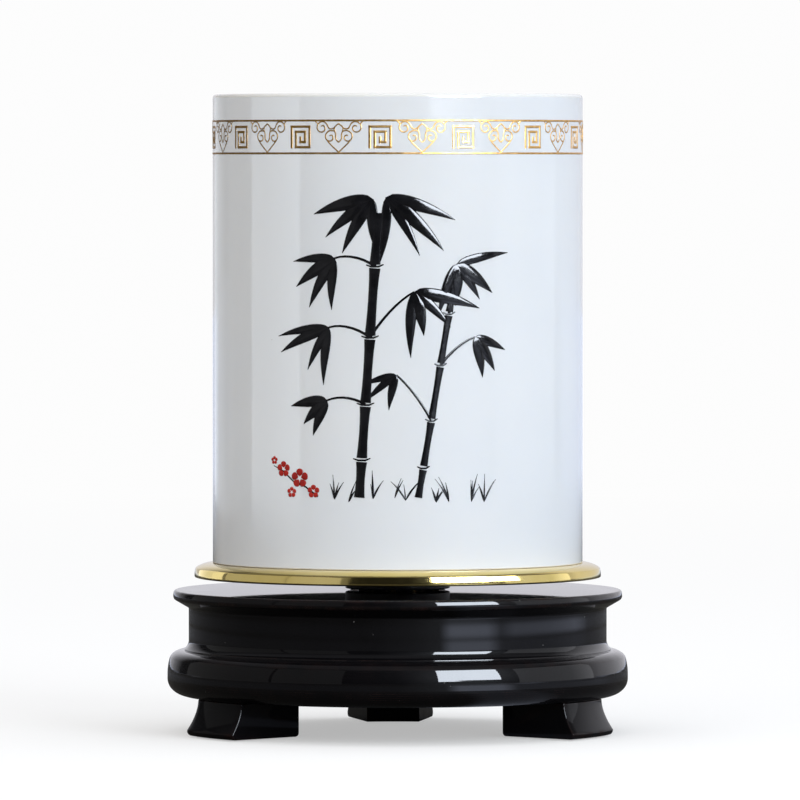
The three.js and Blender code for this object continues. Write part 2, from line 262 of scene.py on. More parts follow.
def bezier(t, *pulls):
    """A point of the curve that starts and ends at the first and last point, and leans to the others."""
    while len(pulls) > 1:
        pulls = [tuple(a + (b - a) * t for a, b in zip(p, q)) for p, q in zip(pulls, pulls[1:])]
    return pulls[0]


def rounded(widest, top, arcs):
    """Points from the widest line up to the top, along arcs that run on from one another without a kink.
    Each arc has its width and height, the degrees by which the outline has turned at its end, and steps."""
    points = [(0.0, 0.0)]
    last_turn = 0.0
    for width, height, turn, steps in arcs:
        start, stop = (math.degrees(math.atan2(height * math.sin(a), width * math.cos(a)))
                       for a in map(math.radians, (last_turn, turn)))
        arc = bend(0, 0, width, height, start, stop, steps)
        across, up = points[-1][0] - arc[0][0], points[-1][1] - arc[0][1]
        points += [(across + x, up + z) for x, z in arc[1:]]
        last_turn = turn
    return [(widest + x, top - points[-1][1] + z) for x, z in points]


def cutter_mesh(shape, x, y, bottom, top):
    bmesh.ops.translate(shape, verts=shape.verts, vec=Vector((x, y, (top + bottom) / 2)) * mm)
    return mesh_of("cutter", shape)


def mesh_of(name, shape):
    mesh = bpy.data.meshes.new(name)
    shape.to_mesh(mesh)
    shape.free()
    return mesh


def round_cutter(x, y, radius, bottom, top, flats=48):
    """A plain cylinder that cuts a hole, given in millimetres."""
    shape = bmesh.new()
    bmesh.ops.create_cone(shape, cap_ends=True, segments=flats, radius1=radius * mm, radius2=radius * mm,
                          depth=(top - bottom) * mm)
    return cutter_mesh(shape, x, y, bottom, top)


def box_cutter(across, bottom, top):
    """A square bar on the axis that cuts a hole, given in millimetres."""
    shape = bmesh.new()
    bmesh.ops.create_cube(shape, size=1.0)
    bmesh.ops.scale(shape, verts=shape.verts, vec=Vector((across, across, top - bottom)) * mm)
    return cutter_mesh(shape, 0, 0, bottom, top)


def carve(piece, cutters, operation="DIFFERENCE"):
    """Cuts meshes out of a piece, or keeps what lies inside them."""
    holders = [new_object("cutter", cutter) for cutter in cutters]
    for holder in holders:
        modifier = piece.modifiers.new("carving", "BOOLEAN")
        modifier.operation = operation
        modifier.object = holder
    settle(piece)
    for holder in holders:
        cutter = holder.data
        bpy.data.objects.remove(holder)
        bpy.data.meshes.remove(cutter)


def reach(name):
    """A CAD node's outer radius and its lowest and highest level, in millimetres."""
    low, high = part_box(name)
    return high[0] / mm, low[2] / mm, high[2] / mm


def upright(name):
    """The middle of a small upright CAD node on the plan, its radius, and its lowest and highest level."""
    low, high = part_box(name)
    middle = (Vector(low) + Vector(high)) / 2 / mm
    return middle.x, middle.y, (high[0] - low[0]) / 2 / mm, low[2] / mm, high[2] / mm


def new_finish(name):
    """A material, and its Object coordinates."""
    material = bpy.data.materials.new(name)
    material.use_nodes = True
    return material, term(material.node_tree, "ShaderNodeTexCoord", output="Object")


def dress(material, **inputs):
    """Feeds the material's Principled shader."""
    shader = material.node_tree.nodes["Principled BSDF"]
    feed(shader, {name.replace("_", " "): given for name, given in inputs.items()})
    return material


def noise(where, scale, detail=3.0, roughness=0.5):
    return term(where.tree, "ShaderNodeTexNoise", {
        "Vector": where, "Scale": scale, "Detail": detail, "Roughness": roughness}, "Fac")


def stretched(where, scale):
    return term(where.tree, "ShaderNodeMapping", {"Vector": where, "Scale": scale})


def ramp(factor, *stops):
    """Maps a value to a grey level or a colour, through stops of (place, level or colour)."""
    made = node(factor.tree, "ShaderNodeValToRGB", {"Fac": factor})
    elements = made.color_ramp.elements
    while len(elements) < len(stops):
        elements.new(0.5)
    for element, (place, level) in zip(elements, stops):
        element.position = place
        element.color = (*level, 1) if isinstance(level, tuple) else (level, level, level, 1)
    return Term(factor.tree, made.outputs["Color"])


def mix(factor, first, second):
    first, second = (colour if isinstance(colour, Term) else (*colour, 1) for colour in (first, second))
    return term(factor.tree, "ShaderNodeMix", {0: factor, 6: first, 7: second}, 2, data_type="RGBA")


def bump(height, distance, strength=1.0):
    return term(height.tree, "ShaderNodeBump", {
        "Height": height, "Distance": distance, "Strength": strength}, "Normal")


def group(shared, where, **inputs):
    """Places a shared shader group in a material and gives it its values."""
    made = node(where.tree, "ShaderNodeGroup", node_tree=shared)
    feed(made, {"Where": where, **{name.replace("_", " "): given for name, given in inputs.items()}})
    return Term(where.tree, made.outputs[0])


def edges_of(where):
    return term(where.tree, "ShaderNodeAttribute", output="Fac", attribute_name="edge")


def turning_marks_group():
    """Fine rings that a lathe tool or a polishing wheel leaves round the axis."""
    tree, (where, rings, wander), result = new_tree(
        "turning_marks", "ShaderNodeTree", Where="Vector", Rings_per_Metre=2000.0, Wander=1.0)
    x, y, z = split(where)
    radius = maths("SQRT", x ** 2.0 + y ** 2.0)
    along = joined_up(radius * rings, z * rings, y / radius * wander)
    across = joined_up(x / radius * wander, 0.0, 0.0)
    shifted = term(tree, "ShaderNodeVectorMath", {0: along, 1: across}, operation="ADD")
    feed(result, {0: noise(shifted, 1.0, 2.0)})
    return tree


def rubbed_edges_group():
    """A mask of edges that have been handled: broken up by noise, and strongest at the sharpest edges."""
    tree, (where, edge, scale, amount), result = new_tree(
        "rubbed_edges", "ShaderNodeTree", Where="Vector", Edge=0.0, Scale=150.0, Amount=0.5)
    patches = ramp(noise(where, scale, 5.0, 0.62), (0.4, 0.0), (0.68, 1.0))
    feed(result, {0: maths("MINIMUM", edge, 1.0) * patches * amount})
    return tree


def specks_group():
    """Scattered specks, such as dust or dots in a glaze. Amount is the share of cells that have one."""
    tree, (where, scale, size, amount), result = new_tree(
        "scattered_specks", "ShaderNodeTree", Where="Vector", Scale=500.0, Size=0.1, Amount=0.1)
    cells = node(tree, "ShaderNodeTexVoronoi", {"Vector": where, "Scale": scale}).outputs
    chance = term(tree, "ShaderNodeSeparateColor", {0: Term(tree, cells["Color"])})
    inside = maths("LESS_THAN", Term(tree, cells["Distance"]), size)
    feed(result, {0: inside * maths("LESS_THAN", chance, amount)})
    return tree


def lacquer_finish():
    material, where = new_finish("black_lacquer")
    grain = noise(stretched(where, (0.16, 1.0, 1.0)), 900.0, 3.0, 0.6)
    rub = group(rubbed_edges, where, Edge=edges_of(where), Scale=190.0, Amount=0.55)
    dust = group(specks, where, Scale=620.0, Size=0.11, Amount=0.035)
    depth = ramp(noise(where, 70.0, 4.0), (0.3, (0.0018, 0.0017, 0.0023)), (0.7, (0.0034, 0.0031, 0.0039)))
    rubbed = mix(rub, depth, (0.022, 0.010, 0.008))
    smears = ramp(noise(where, 42.0, 5.0, 0.6), (0.35, 0.30), (0.7, 0.46))
    glossy = ramp(split(where)[2] / (stand_bottom * mm), (0.94, feet_gloss), (1.0, 1.0))
    raised = grain * 0.04 + noise(where, 170.0, 1.0) * 0.22 + dust * 0.5
    return dress(material, Base_Color=mix(dust * 0.5, rubbed, (0.16, 0.155, 0.15)),
                 Roughness=mix(rub, smears, (0.6, 0.6, 0.6)), Normal=bump(raised, 0.03 * mm, 0.55),
                 Coat_Weight=glossy - rub * 0.5, Coat_Roughness=0.025, Coat_IOR=1.42,
                 Specular_IOR_Level=0.04)


turning = turning_tree()
turning_marks = turning_marks_group()
rubbed_edges = rubbed_edges_group()
specks = specks_group()

bead_radius, stand_bottom, stand_top = reach("stand")
top_radius = 58.0
top_edge = [(4.4, 4.4, 15, 5), (0.62, 0.62, 90, 6)]
top_under_round = 1.1
under_slope = 30
waist_radius = 54.0
waist_top = stand_top - 4.9
upper_cove = 0.6
lower_cove = 2.7
lower_cove_height = 2.15
quirk_height = 0.4
quirk_lean = 0.08
quirk_round = 0.13
bead_top = stand_bottom + 11.65
bead_outline = [(13.6, 13.6, 17, 8), (3.5, 2.5, 90, 12)]
bead_under_round = (5.2, 4.3)
nut_well_radius = 13.0
nut_well_top = 23.85
bearing_seat_radius = 12.3
bearing_seat = 31.5
bore_radius = 7.0
sides = ("back", "left", "right")
dowel_clearance = 0.15
overrun = 1.0  # how far a cutter runs past the face that it cuts
feet_gloss = 0.45
black_lacquer = lacquer_finish()

cove_foot = bead_top + quirk_height
cove_reach = math.degrees(math.asin(lower_cove_height / lower_cove))
cove = bend(waist_radius + lower_cove, cove_foot + lower_cove_height, lower_cove, lower_cove,
            180 + cove_reach, 180)
quirk_radius = cove[0][0] + quirk_lean
edge_arc = rounded(top_radius, stand_top, top_edge)
stand = turned_piece("stand_block", [
    (nut_well_radius, stand_bottom),
    *bend(bead_radius - bead_under_round[0], stand_bottom + bead_under_round[1], *bead_under_round,
          -90, 0, 12),
    *rounded(bead_radius, bead_top, bead_outline),
    *corner(quirk_radius, bead_top, quirk_round, 180, 2)[::-1],
    *bend(quirk_radius - quirk_round, cove_foot - quirk_round, quirk_round, quirk_round, 0, 60, 3),
    *cove[1:],
    *bend(waist_radius + upper_cove, waist_top, upper_cove, upper_cove, 180, 90 + under_slope, 5),
    *bend(top_radius - top_under_round, edge_arc[0][1], top_under_round, top_under_round,
          under_slope - 90, 0, 5),
    *edge_arc[1:],
    (bearing_seat_radius, stand_top),
    (bearing_seat_radius, bearing_seat),
    (bore_radius, bearing_seat),
    (bore_radius, nut_well_top),
    (nut_well_radius, nut_well_top),
], black_lacquer)
carve(stand, [round_cutter(x, y, radius + dowel_clearance, stand_bottom - overrun, top + dowel_clearance)
              for x, y, radius, _, top in (upright("dowel_" + side) for side in sides)])
keep(stand, "stand", "black_lacquer", "stand")


# Feet. Three slices of one turned ring with a flared outer face, sawn apart, eased along their edges,
# drilled for a dowel above and a pad below, glued under the stand and lacquered with it.

def foot(name, direction):
    """A foot whose middle lies in the given direction. It is cut from a ring, so its ends are radial."""
    _, bottom, top = reach(name)
    flare_top = bottom + foot_flare_rise
    pulls = ((foot_flare_radius, flare_top), (foot_neck_radius, bottom + foot_neck_rise),
             (foot_neck_radius, top))
    outline = [
        *corner(foot_inner_radius, bottom, foot_heel_round, 180, 4),
        *bend(foot_flare_radius - foot_toe_round, flare_top, foot_toe_round, foot_flare_rise, -90, 0, 5),
        *(bezier(i / foot_neck_steps, *pulls) for i in range(1, foot_neck_steps + 1)),
        (foot_inner_radius, top),
    ]
    shape = bmesh.new()
    slices = []
    for i in range(foot_steps + 1):
        turn = math.radians(direction + foot_span * (i / foot_steps - 0.5))
        slices.append([shape.verts.new((r * mm * math.cos(turn), r * mm * math.sin(turn), z * mm))
                       for r, z in outline])
    for near, far in zip(slices, slices[1:]):
        for i in range(len(outline)):
            j = (i + 1) % len(outline)
            shape.faces.new((near[i], near[j], far[j], far[i]))
    shape.faces.new(slices[0][::-1])
    shape.faces.new(slices[-1])
    bmesh.ops.recalc_face_normals(shape, faces=shape.faces)
    sharp = [edge for edge in shape.edges if edge.calc_face_angle() > foot_sharp_angle]
    bmesh.ops.bevel(shape, geom=sharp, offset=foot_edge_ease * mm, segments=3, profile=0.5,
                    affect="EDGES", clamp_overlap=True)
    for face in shape.faces:
        face.smooth = len(face.verts) <= 4
    level = shape.verts.layers.float.new("edge")
    for vertex in shape.verts:
        vertex[level] = max((edge.calc_face_angle_signed(0.0) / max(0.1, edge_breadth(edge))
                             for edge in vertex.link_edges), default=0.0)
    mesh = mesh_of(name, shape)
    mesh.materials.append(black_lacquer)
    return new_object(name + "_block", mesh)


def edge_breadth(edge):
    """The mean breadth in millimetres of the two faces at an edge, measured across it."""
    length = max(1e-6, edge.calc_length())
    return sum(face.calc_area() for face in edge.link_faces) / len(edge.link_faces) / length / mm


foot_inner_radius = 34.6
foot_neck_radius = 54.7
foot_flare_radius = 57.8
foot_span = 22.8
foot_flare_rise = 1.4
foot_neck_rise = 5.8
foot_neck_steps = 12
foot_toe_round = 1.2
foot_heel_round = 1.0
foot_edge_ease = 0.35
foot_sharp_angle = math.radians(32)
foot_steps = 10
pad_clearance = 0.3
for side in sides:
    x, y, dowel_radius, dowel_low, _ = upright("dowel_" + side)
    _, _, pad_radius, pad_low, pad_high = upright("pad_" + side)
    block = foot("foot_" + side, math.degrees(math.atan2(y, x)))
    carve(block, [
        round_cutter(x, y, dowel_radius + dowel_clearance, dowel_low - dowel_clearance,
                     stand_bottom + overrun),
        round_cutter(x, y, pad_radius + pad_clearance, pad_low - overrun, pad_high),
    ])
    keep(block, "stand", "black_lacquer", "foot_" + side)


# Dowels. Beech pegs, one for each foot, with pressed flutes that let spare glue out. Each is glued half in
# the foot and half in the stand.

def on_plan(tree):
    """A point's coordinates, its distance from the Z axis, and the way that it lies from the axis."""
    x, y, z = split(term(tree, "GeometryNodeInputPosition"))
    return x, y, z, maths("SQRT", x ** 2.0 + y ** 2.0), maths("ARCTAN2", y, x)


def flutes_tree():
    """Presses straight flutes along a round piece that stands on the given centre."""
    tree, (peg, flutes, depth, centre, finish), result = new_tree(
        "fluted", "GeometryNodeTree", Peg="Geometry", Flutes=12.0, Depth=0.0002, Centre="Vector",
        Finish="Material")
    x, y, z, radius, turn = on_plan(tree)
    cut = maths("MAXIMUM", maths("COSINE", turn * flutes), 0.0) ** 2.0 * depth
    share = maths("MAXIMUM", radius - cut, 0.0) / maths("MAXIMUM", radius, 1e-6)
    pressed = term(tree, "GeometryNodeSetPosition", {
        "Geometry": peg, "Position": joined_up(x * share, y * share, z)})
    placed = term(tree, "GeometryNodeTransform", {"Geometry": pressed, "Translation": centre})
    finish_tree(placed, finish, result)
    return tree


def worked(blank, name, tree, **inputs):
    """Runs a geometry tree on a piece, which becomes another piece."""
    mesh = blank.data
    bpy.data.objects.remove(blank)
    return made_by_tree(name, mesh, tree, **inputs)


def beech_finish():
    material, where = new_finish("bare_beech")
    fibres = stretched(where, (1.0, 1.0, 0.07))
    figure = noise(fibres, 1400.0, 4.0, 0.6)
    wood = ramp(figure, (0.25, (0.42, 0.25, 0.13)), (0.75, (0.66, 0.46, 0.27)))
    flecks = group(specks, fibres, Scale=1900.0, Size=0.2, Amount=0.3)
    return dress(material, Base_Color=mix(flecks, wood, (0.33, 0.18, 0.09)),
                 Roughness=ramp(figure, (0.2, 0.6), (0.8, 0.82)), Normal=bump(figure, 0.06 * mm))


fluting = flutes_tree()
bare_beech = beech_finish()
dowel_ease = 0.6
for name in ("dowel_" + side for side in sides):
    x, y, radius, low, high = upright(name)
    blank = turned_piece(name + "_blank", [
        (0, low), (radius - dowel_ease, low), (radius, low + dowel_ease),
        (radius, high - dowel_ease), (radius - dowel_ease, high), (0, high),
    ], bare_beech, flats=72, closed=False)
    peg = worked(blank, name + "_fluted", fluting, Flutes=12.0, Depth=0.25 * mm,
                 Centre=(x * mm, y * mm, 0), Finish=bare_beech)
    keep(peg, "stand", "beech", name)


# Foot pads. Discs of black wool felt, punched out of a sheet, which keep the feet from marking a desk.
# They are stuck in the shallow holes under the feet.

def felt_finish():
    material, where = new_finish("black_felt")
    tangle = noise(where, 2400.0, 5.0, 0.75)
    colour = ramp(tangle, (0.3, (0.010, 0.0095, 0.011)), (0.72, (0.040, 0.038, 0.042)))
    lint = group(specks, where, Scale=900.0, Size=0.12, Amount=0.06)
    return dress(material, Base_Color=mix(lint, colour, (0.14, 0.135, 0.13)),
                 Roughness=ramp(tangle, (0.2, 0.86), (0.8, 1.0)), Normal=bump(tangle, 0.12 * mm),
                 Sheen_Weight=0.35, Sheen_Roughness=0.5)


black_felt = felt_finish()
pad_foot_round = 0.3
pad_top_round = 0.2
for side in sides:
    x, y, radius, low, high = upright("pad_" + side)
    pad = turned_piece("felt_pad_" + side, [
        (0, low),
        *corner(radius, low, pad_foot_round, -90),
        *corner(radius, high, pad_top_round, 0),
        (0, high),
    ], black_felt, flats=64, closed=False)
    pad.data.transform(Matrix.Translation((x * mm, y * mm, 0)))
    keep(pad, "stand", "black_felt", "pad_" + side)


# Pivot bush. A flanged sleeve of white nylon, moulded in one piece. It is pressed up into the stand's
# bore from the nut's well, and the pivot's spacer tube turns in it.

def nylon_finish(name, dark, pale):
    material, where = new_finish(name)
    return dress(material, Base_Color=ramp(noise(where, 160.0, 3.0), (0.3, dark), (0.7, pale)),
                 Roughness=ramp(noise(where, 900.0, 2.0), (0.3, 0.32), (0.7, 0.5)),
                 Normal=bump(noise(where, 1500.0, 2.0), 0.02 * mm))


def eased(outline, ease, steps=3):
    """Rounds each corner of a closed outline."""
    points = []
    for i, place in enumerate(outline):
        near, far = (bezier(ease / math.dist(place, other), place, other)
                     for other in (outline[i - 1], outline[(i + 1) % len(outline)]))
        points += [bezier(step / steps, near, place, far) for step in range(steps + 1)]
    return points


def band(inner, outer, bottom, top):
    """The outline of a plain ring."""
    return [(inner, bottom), (outer, bottom), (outer, top), (inner, top)]


white_nylon = nylon_finish("white_nylon", (0.66, 0.64, 0.58), (0.80, 0.78, 0.72))
flange_radius, flange_bottom, bush_top = reach("pivot_bush")
bush_inner = 5.1
bush_outer = 6.7
bush = turned_piece("pivot_bush_turned", eased([
    (bush_inner, flange_bottom), (flange_radius, flange_bottom), (flange_radius, nut_well_top),
    (bush_outer, nut_well_top), (bush_outer, bush_top), (bush_inner, bush_top),
], 0.25), white_nylon, flats=96)
keep(bush, "stand", "white_nylon", "pivot_bush")


# Thrust bearing. Two hardened steel washers with a ground groove, and nine steel balls between them in
# a brass cage. The lower washer lies in the stand's seat and the upper one turns with the pot.

def ball_ring_tree():
    """Sets balls evenly round a circle at one height."""
    tree, (_, balls, ring_radius, radius, height, finish), result = new_tree(
        "ring_of_balls", "GeometryNodeTree", Nothing="Geometry", Balls=9, Ring_Radius=0.0085,
        Ball_Radius=0.002, Height=0.0, Finish="Material")
    circle = term(tree, "GeometryNodeMeshCircle", {"Vertices": balls, "Radius": ring_radius})
    ball = term(tree, "GeometryNodeMeshUVSphere", {"Segments": 40, "Rings": 20, "Radius": radius})
    ring = term(tree, "GeometryNodeInstanceOnPoints", {"Points": circle, "Instance": ball})
    placed = term(tree, "GeometryNodeTransform", {
        "Geometry": ring, "Translation": joined_up(0.0, 0.0, height)})
    finish_tree(placed, finish, result)
    return tree


def metal_finish(name, dark, pale, rings, low, high):
    """Bare turned or ground metal: its tone and gloss vary along fine rings round the axis."""
    material, where = new_finish(name)
    marks = group(turning_marks, where, Rings_per_Metre=rings, Wander=0.8)
    handled = noise(where, 120.0, 4.0)
    return dress(material, Base_Color=ramp(handled, (0.3, dark), (0.7, pale)), Metallic=1.0,
                 Roughness=ramp(marks * 0.5 + handled * 0.5, (0.3, low), (0.7, high)),
                 Normal=bump(marks, 0.01 * mm))


bearing_steel = metal_finish("bearing_steel", (0.46, 0.47, 0.49), (0.62, 0.63, 0.65), 3200.0, 0.14, 0.26)
plain_brass = metal_finish("plain_brass", (0.52, 0.36, 0.15), (0.74, 0.56, 0.28), 2600.0, 0.22, 0.38)
race_radius, lower_bottom, lower_top = reach("lower_race")
_, upper_bottom, upper_top = reach("upper_race")
race_bore = 5.1
race_ease = 0.25
groove_play = 0.1
groove_steps = 14
ball_low, ball_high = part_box("ball_1")
ball_radius = (ball_high[2] - ball_low[2]) / 2 / mm
ball_height = (ball_high[2] + ball_low[2]) / 2 / mm
ball_ring_radius = 8.5
ball_count = 9
groove_radius = ball_radius + groove_play
groove_reach = math.degrees(math.acos((ball_height - lower_top) / groove_radius))
corner_points = 4
for name, body, bottom, top, deepest, corners_before in (
    ("lower_race", "stand", lower_bottom, lower_top, -90, 3),
    ("upper_race", "pot", upper_bottom, upper_top, 90, 1),
):
    plain = eased(band(race_bore, race_radius, bottom, top), race_ease)
    groove = bend(ball_ring_radius, ball_height, groove_radius, groove_radius,
                  deepest + groove_reach, deepest - groove_reach, groove_steps)
    before = corner_points * corners_before
    race = turned_piece(name + "_turned", plain[:before] + groove + plain[before:], bearing_steel, flats=96)
    keep(race, body, "bearing_steel", name)

empty = bpy.data.meshes.new("nothing")
balls = made_by_tree("bearing_balls", empty, ball_ring_tree(), Balls=ball_count,
                     Ring_Radius=ball_ring_radius * mm, Ball_Radius=ball_radius * mm,
                     Height=ball_height * mm, Finish=bearing_steel)
keep(balls, "cage", "bearing_steel", *(f"ball_{i}" for i in range(1, ball_count + 1)))

cage_radius, cage_bottom, cage_top = reach("ball_cage")
cage_bore = 5.4
pocket_radius = ball_radius + 0.15
cage = turned_piece("ball_cage_ring", eased(band(cage_bore, cage_radius, cage_bottom, cage_top), 0.2),
                    plain_brass, flats=96)
turns = [i * math.tau / ball_count for i in range(ball_count)]
carve(cage, [round_cutter(ball_ring_radius * math.cos(turn), ball_ring_radius * math.sin(turn),
                          pocket_radius, cage_bottom - overrun, cage_top + overrun, 36) for turn in turns])
keep(cage, "cage", "plain_brass", "ball_cage")


# Hub cap. A black nylon moulding, held between the bearing's upper washer and the tray. Its skirt hides
# the bearing and clears the stand.

hub_radius, hub_bottom, hub_top = reach("hub_cap")
black_nylon = nylon_finish("black_nylon", (0.010, 0.010, 0.011), (0.022, 0.022, 0.024))
neck_hole = 6.3
skirt_round = 0.3
hub_inner_round = 0.4
hub_top_round = 0.2
hub = turned_piece("hub_cap_moulding", [
    (0, upper_top),
    *corner(bearing_seat_radius, upper_top, hub_inner_round, 0, 4)[::-1],
    *corner(bearing_seat_radius, hub_bottom, skirt_round, 180),
    *corner(hub_radius, hub_bottom, skirt_round, -90),
    *corner(hub_radius, hub_top, hub_top_round, 0),
    (0, hub_top),
], black_nylon, flats=128, closed=False)
carve(hub, [box_cutter(neck_hole, upper_top - overrun, hub_top + overrun)])
keep(hub, "pot", "black_nylon", "hub_cap")


# Tray. A disc of brass sheet pressed with a rounded, turned-down rim, polished on a wheel and plated
# with bright gold. The bolt's square neck keys into the hole at its middle.

def ray(tree, kind):
    return term(tree, "ShaderNodeLightPath", output=kind)


def length_of(vector):
    return term(vector.tree, "ShaderNodeVectorMath", {0: vector}, "Value", operation="LENGTH")


def gold_plate_finish():
    """Bright gold above and round the rim. The hollow below, which isn't seen, is only primed in grey.
    Light that the gold throws on the pot is toned down, as the photograph has it."""
    material, where = new_finish("gold_plate")
    marks = group(turning_marks, where, Rings_per_Metre=1500.0, Wander=1.4)
    tone = noise(where, 55.0, 4.0)
    rub = group(rubbed_edges, where, Edge=edges_of(where), Scale=260.0, Amount=0.35)
    x, y, z = split(where)
    hollow = (maths("LESS_THAN", length_of(joined_up(x, y)), (tray_inside + 0.2) * mm)
              * maths("LESS_THAN", z, (hub_top + 0.1) * mm))
    plated = ramp(tone, (0.3, (0.84, 0.66, 0.22)), (0.7, (0.92, 0.76, 0.33)))
    primer = ramp(tone, (0.3, (0.56, 0.56, 0.59)), (0.7, (0.66, 0.66, 0.69)))
    shown = mix(ray(where.tree, "Is Diffuse Ray"), mix(rub, plated, (0.70, 0.50, 0.22)), (0.42, 0.32, 0.13))
    smears = ramp(noise(where, 90.0, 5.0, 0.65), (0.4, 0.06), (0.72, 0.13))
    surface = marks * 0.06 + noise(where, 240.0, 2.0) * 0.5
    return dress(material, Base_Color=mix(hollow, shown, primer), Roughness=smears + hollow * 0.4,
                 Metallic=1.0 - hollow, Normal=bump(surface, 0.05 * mm, 0.7))


tray_radius, tray_bottom, tray_top = reach("tray")
tray_inside = tray_radius - 1.2
tray_hollow = (4.0, 1.9)
tray_lower_round = 0.4
tray_inner_round = 0.3
tray_outline = [(7.5, 7.5, 14, 6), (0.5, 0.5, 52, 5), (5.66, 2.55, 90, 12)]
gold_plate = gold_plate_finish()
tray = turned_piece("gold_tray", [
    (0, hub_top),
    *bend(tray_inside - tray_hollow[0], hub_top - tray_hollow[1], *tray_hollow, 90, 0, 8),
    *corner(tray_inside, tray_bottom, tray_inner_round, 180, 4),
    *corner(tray_radius, tray_bottom, tray_lower_round, -90, 4),
    *rounded(tray_radius, tray_top, tray_outline),
    (0, tray_top),
], gold_plate, closed=False)
carve(tray, [box_cutter(neck_hole, hub_top - overrun, tray_top + overrun)])
keep(tray, "pot", "gold_plate", "tray")


# Pivot. A zinc-plated carriage bolt keyed in the tray, a brass spacer tube that turns in the bush, and a
# wide washer and lock nut below, which keep the pot from lifting off.

def thread_tree():
    """Cuts a screw thread into a round piece on the axis, up to a given height."""
    tree, (shank, pitch, depth, outer_radius, top, finish), result = new_tree(
        "threaded", "GeometryNodeTree", Shank="Geometry", Pitch=0.001, Depth=0.0006, Outer_Radius=0.003,
        Top=0.02, Finish="Material")
    x, y, z, radius, turn = on_plan(tree)
    slope = maths("PINGPONG", z / pitch - turn / math.tau, 0.5)
    cut_radius = maths("MINIMUM", radius, outer_radius - slope * 2.0 * depth)
    share = cut_radius / maths("MAXIMUM", radius, 1e-6)
    kept = 1.0 - maths("LESS_THAN", z, top) * (1.0 - share)
    cut = term(tree, "GeometryNodeSetPosition", {
        "Geometry": shank, "Position": joined_up(x * kept, y * kept, z)})
    finish_tree(cut, finish, result)
    return tree


def zinc_finish():
    material, where = new_finish("zinc_plated_steel")
    bloom = term(where.tree, "ShaderNodeTexVoronoi", {"Vector": where, "Scale": 700.0}, "Distance")
    film = noise(where, 210.0, 3.0)
    return dress(material, Base_Color=ramp(film, (0.3, (0.50, 0.52, 0.56)), (0.7, (0.68, 0.69, 0.68))),
                 Roughness=ramp(bloom, (0.1, 0.22), (0.6, 0.36)), Metallic=1.0,
                 Normal=bump(film, 0.02 * mm))


def plain_ring(name, bore, ease, finish, slot):
    radius, bottom, top = reach(name)
    ring = turned_piece(name + "_turned", eased(band(bore, radius, bottom, top), ease), finish, flats=96)
    keep(ring, "pot", slot, name)


zinc_steel = zinc_finish()
_, bolt_end, bolt_top = reach("carriage_bolt")
bolt_radius = 3.0
bolt_ease = 0.6
neck_ease = 0.25
neck_lap = 0.05
head_radius = 7.0
thread_pitch = 1.0
thread_depth = 0.55
thread_top = 25.2
thread_step = 0.1
dome_rise = bolt_top - tray_top
dome_radius = (head_radius ** 2 + dome_rise ** 2) / (2 * dome_rise)
dome_centre = bolt_top - dome_radius
dome_start = math.degrees(math.asin((tray_top - dome_centre) / dome_radius))
threads = [(bolt_radius, bolt_end + bolt_ease + thread_step * i)
           for i in range(1, round((thread_top - bolt_end) / thread_step))]
blank = turned_piece("shank_blank", [
    (0, bolt_end), (bolt_radius - bolt_ease, bolt_end), (bolt_radius, bolt_end + bolt_ease), *threads,
    (bolt_radius, upper_top), (0, upper_top),
], zinc_steel, flats=48, closed=False)
shank = worked(blank, "carriage_bolt_shank", thread_tree(), Pitch=thread_pitch * mm,
               Depth=thread_depth * mm, Outer_Radius=bolt_radius * mm, Top=thread_top * mm,
               Finish=zinc_steel)
neck_mesh = box_cutter(2 * bolt_radius, upper_top - neck_lap, tray_top + neck_lap)
neck_shape = bmesh.new()
neck_shape.from_mesh(neck_mesh)
bmesh.ops.bevel(neck_shape, geom=neck_shape.edges[:], offset=neck_ease * mm, segments=2, profile=0.5,
                affect="EDGES")
neck_shape.to_mesh(neck_mesh)
neck_shape.free()
neck_mesh.materials.append(zinc_steel)
neck = new_object("carriage_bolt_neck", neck_mesh)
head = turned_piece("carriage_bolt_head", [
    (0, tray_top),
    *bend(0, dome_centre, dome_radius, dome_radius, dome_start, 90, 16)[:-1],
    (0, bolt_top),
], zinc_steel, flats=96, closed=False)
keep(shank, "pot", "zinc_steel", "carriage_bolt")
keep(neck, "pot", "zinc_steel")
keep(head, "pot", "zinc_steel")

bolt_hole = 3.15
plain_ring("spacer_tube", bolt_hole, 0.2, plain_brass, "plain_brass")
plain_ring("retaining_washer", bolt_hole, 0.3, zinc_steel, "zinc_steel")

nut_low, nut_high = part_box("lock_nut")
nut_bottom, nut_top = nut_low[2] / mm, nut_high[2] / mm
insert_seat_radius, _, insert_top = reach("lock_nut_insert")
nut_across = 10.0
nut_corner = nut_across / 2 / math.cos(math.radians(30))
nut_chamfer = 0.75
insert_room = 0.15
nut = turned_piece("lock_nut_hexagon", [
    (bolt_hole, insert_top + insert_room),
    (insert_seat_radius + insert_room, insert_top + insert_room),
    (insert_seat_radius + insert_room, nut_bottom),
    (nut_corner - 2 * nut_chamfer, nut_bottom),
    (nut_corner, nut_bottom + nut_chamfer),
    (nut_corner, nut_top - nut_chamfer),
    (nut_corner - 2 * nut_chamfer, nut_top),
    (bolt_hole, nut_top),
], zinc_steel, flats=96)
carve(nut, [round_cutter(0, 0, nut_corner, nut_bottom - overrun, nut_top + overrun, 6)], "INTERSECT")
keep(nut, "pot", "zinc_steel", "lock_nut")
plain_ring("lock_nut_insert", bolt_radius + 0.15, 0.2, white_nylon, "white_nylon")


# Glue bead. Pale epoxy, which holds the pot on the tray. It is run in a fillet round the corner between
# the tray and the pot's foot ring, and has set a little cloudy.

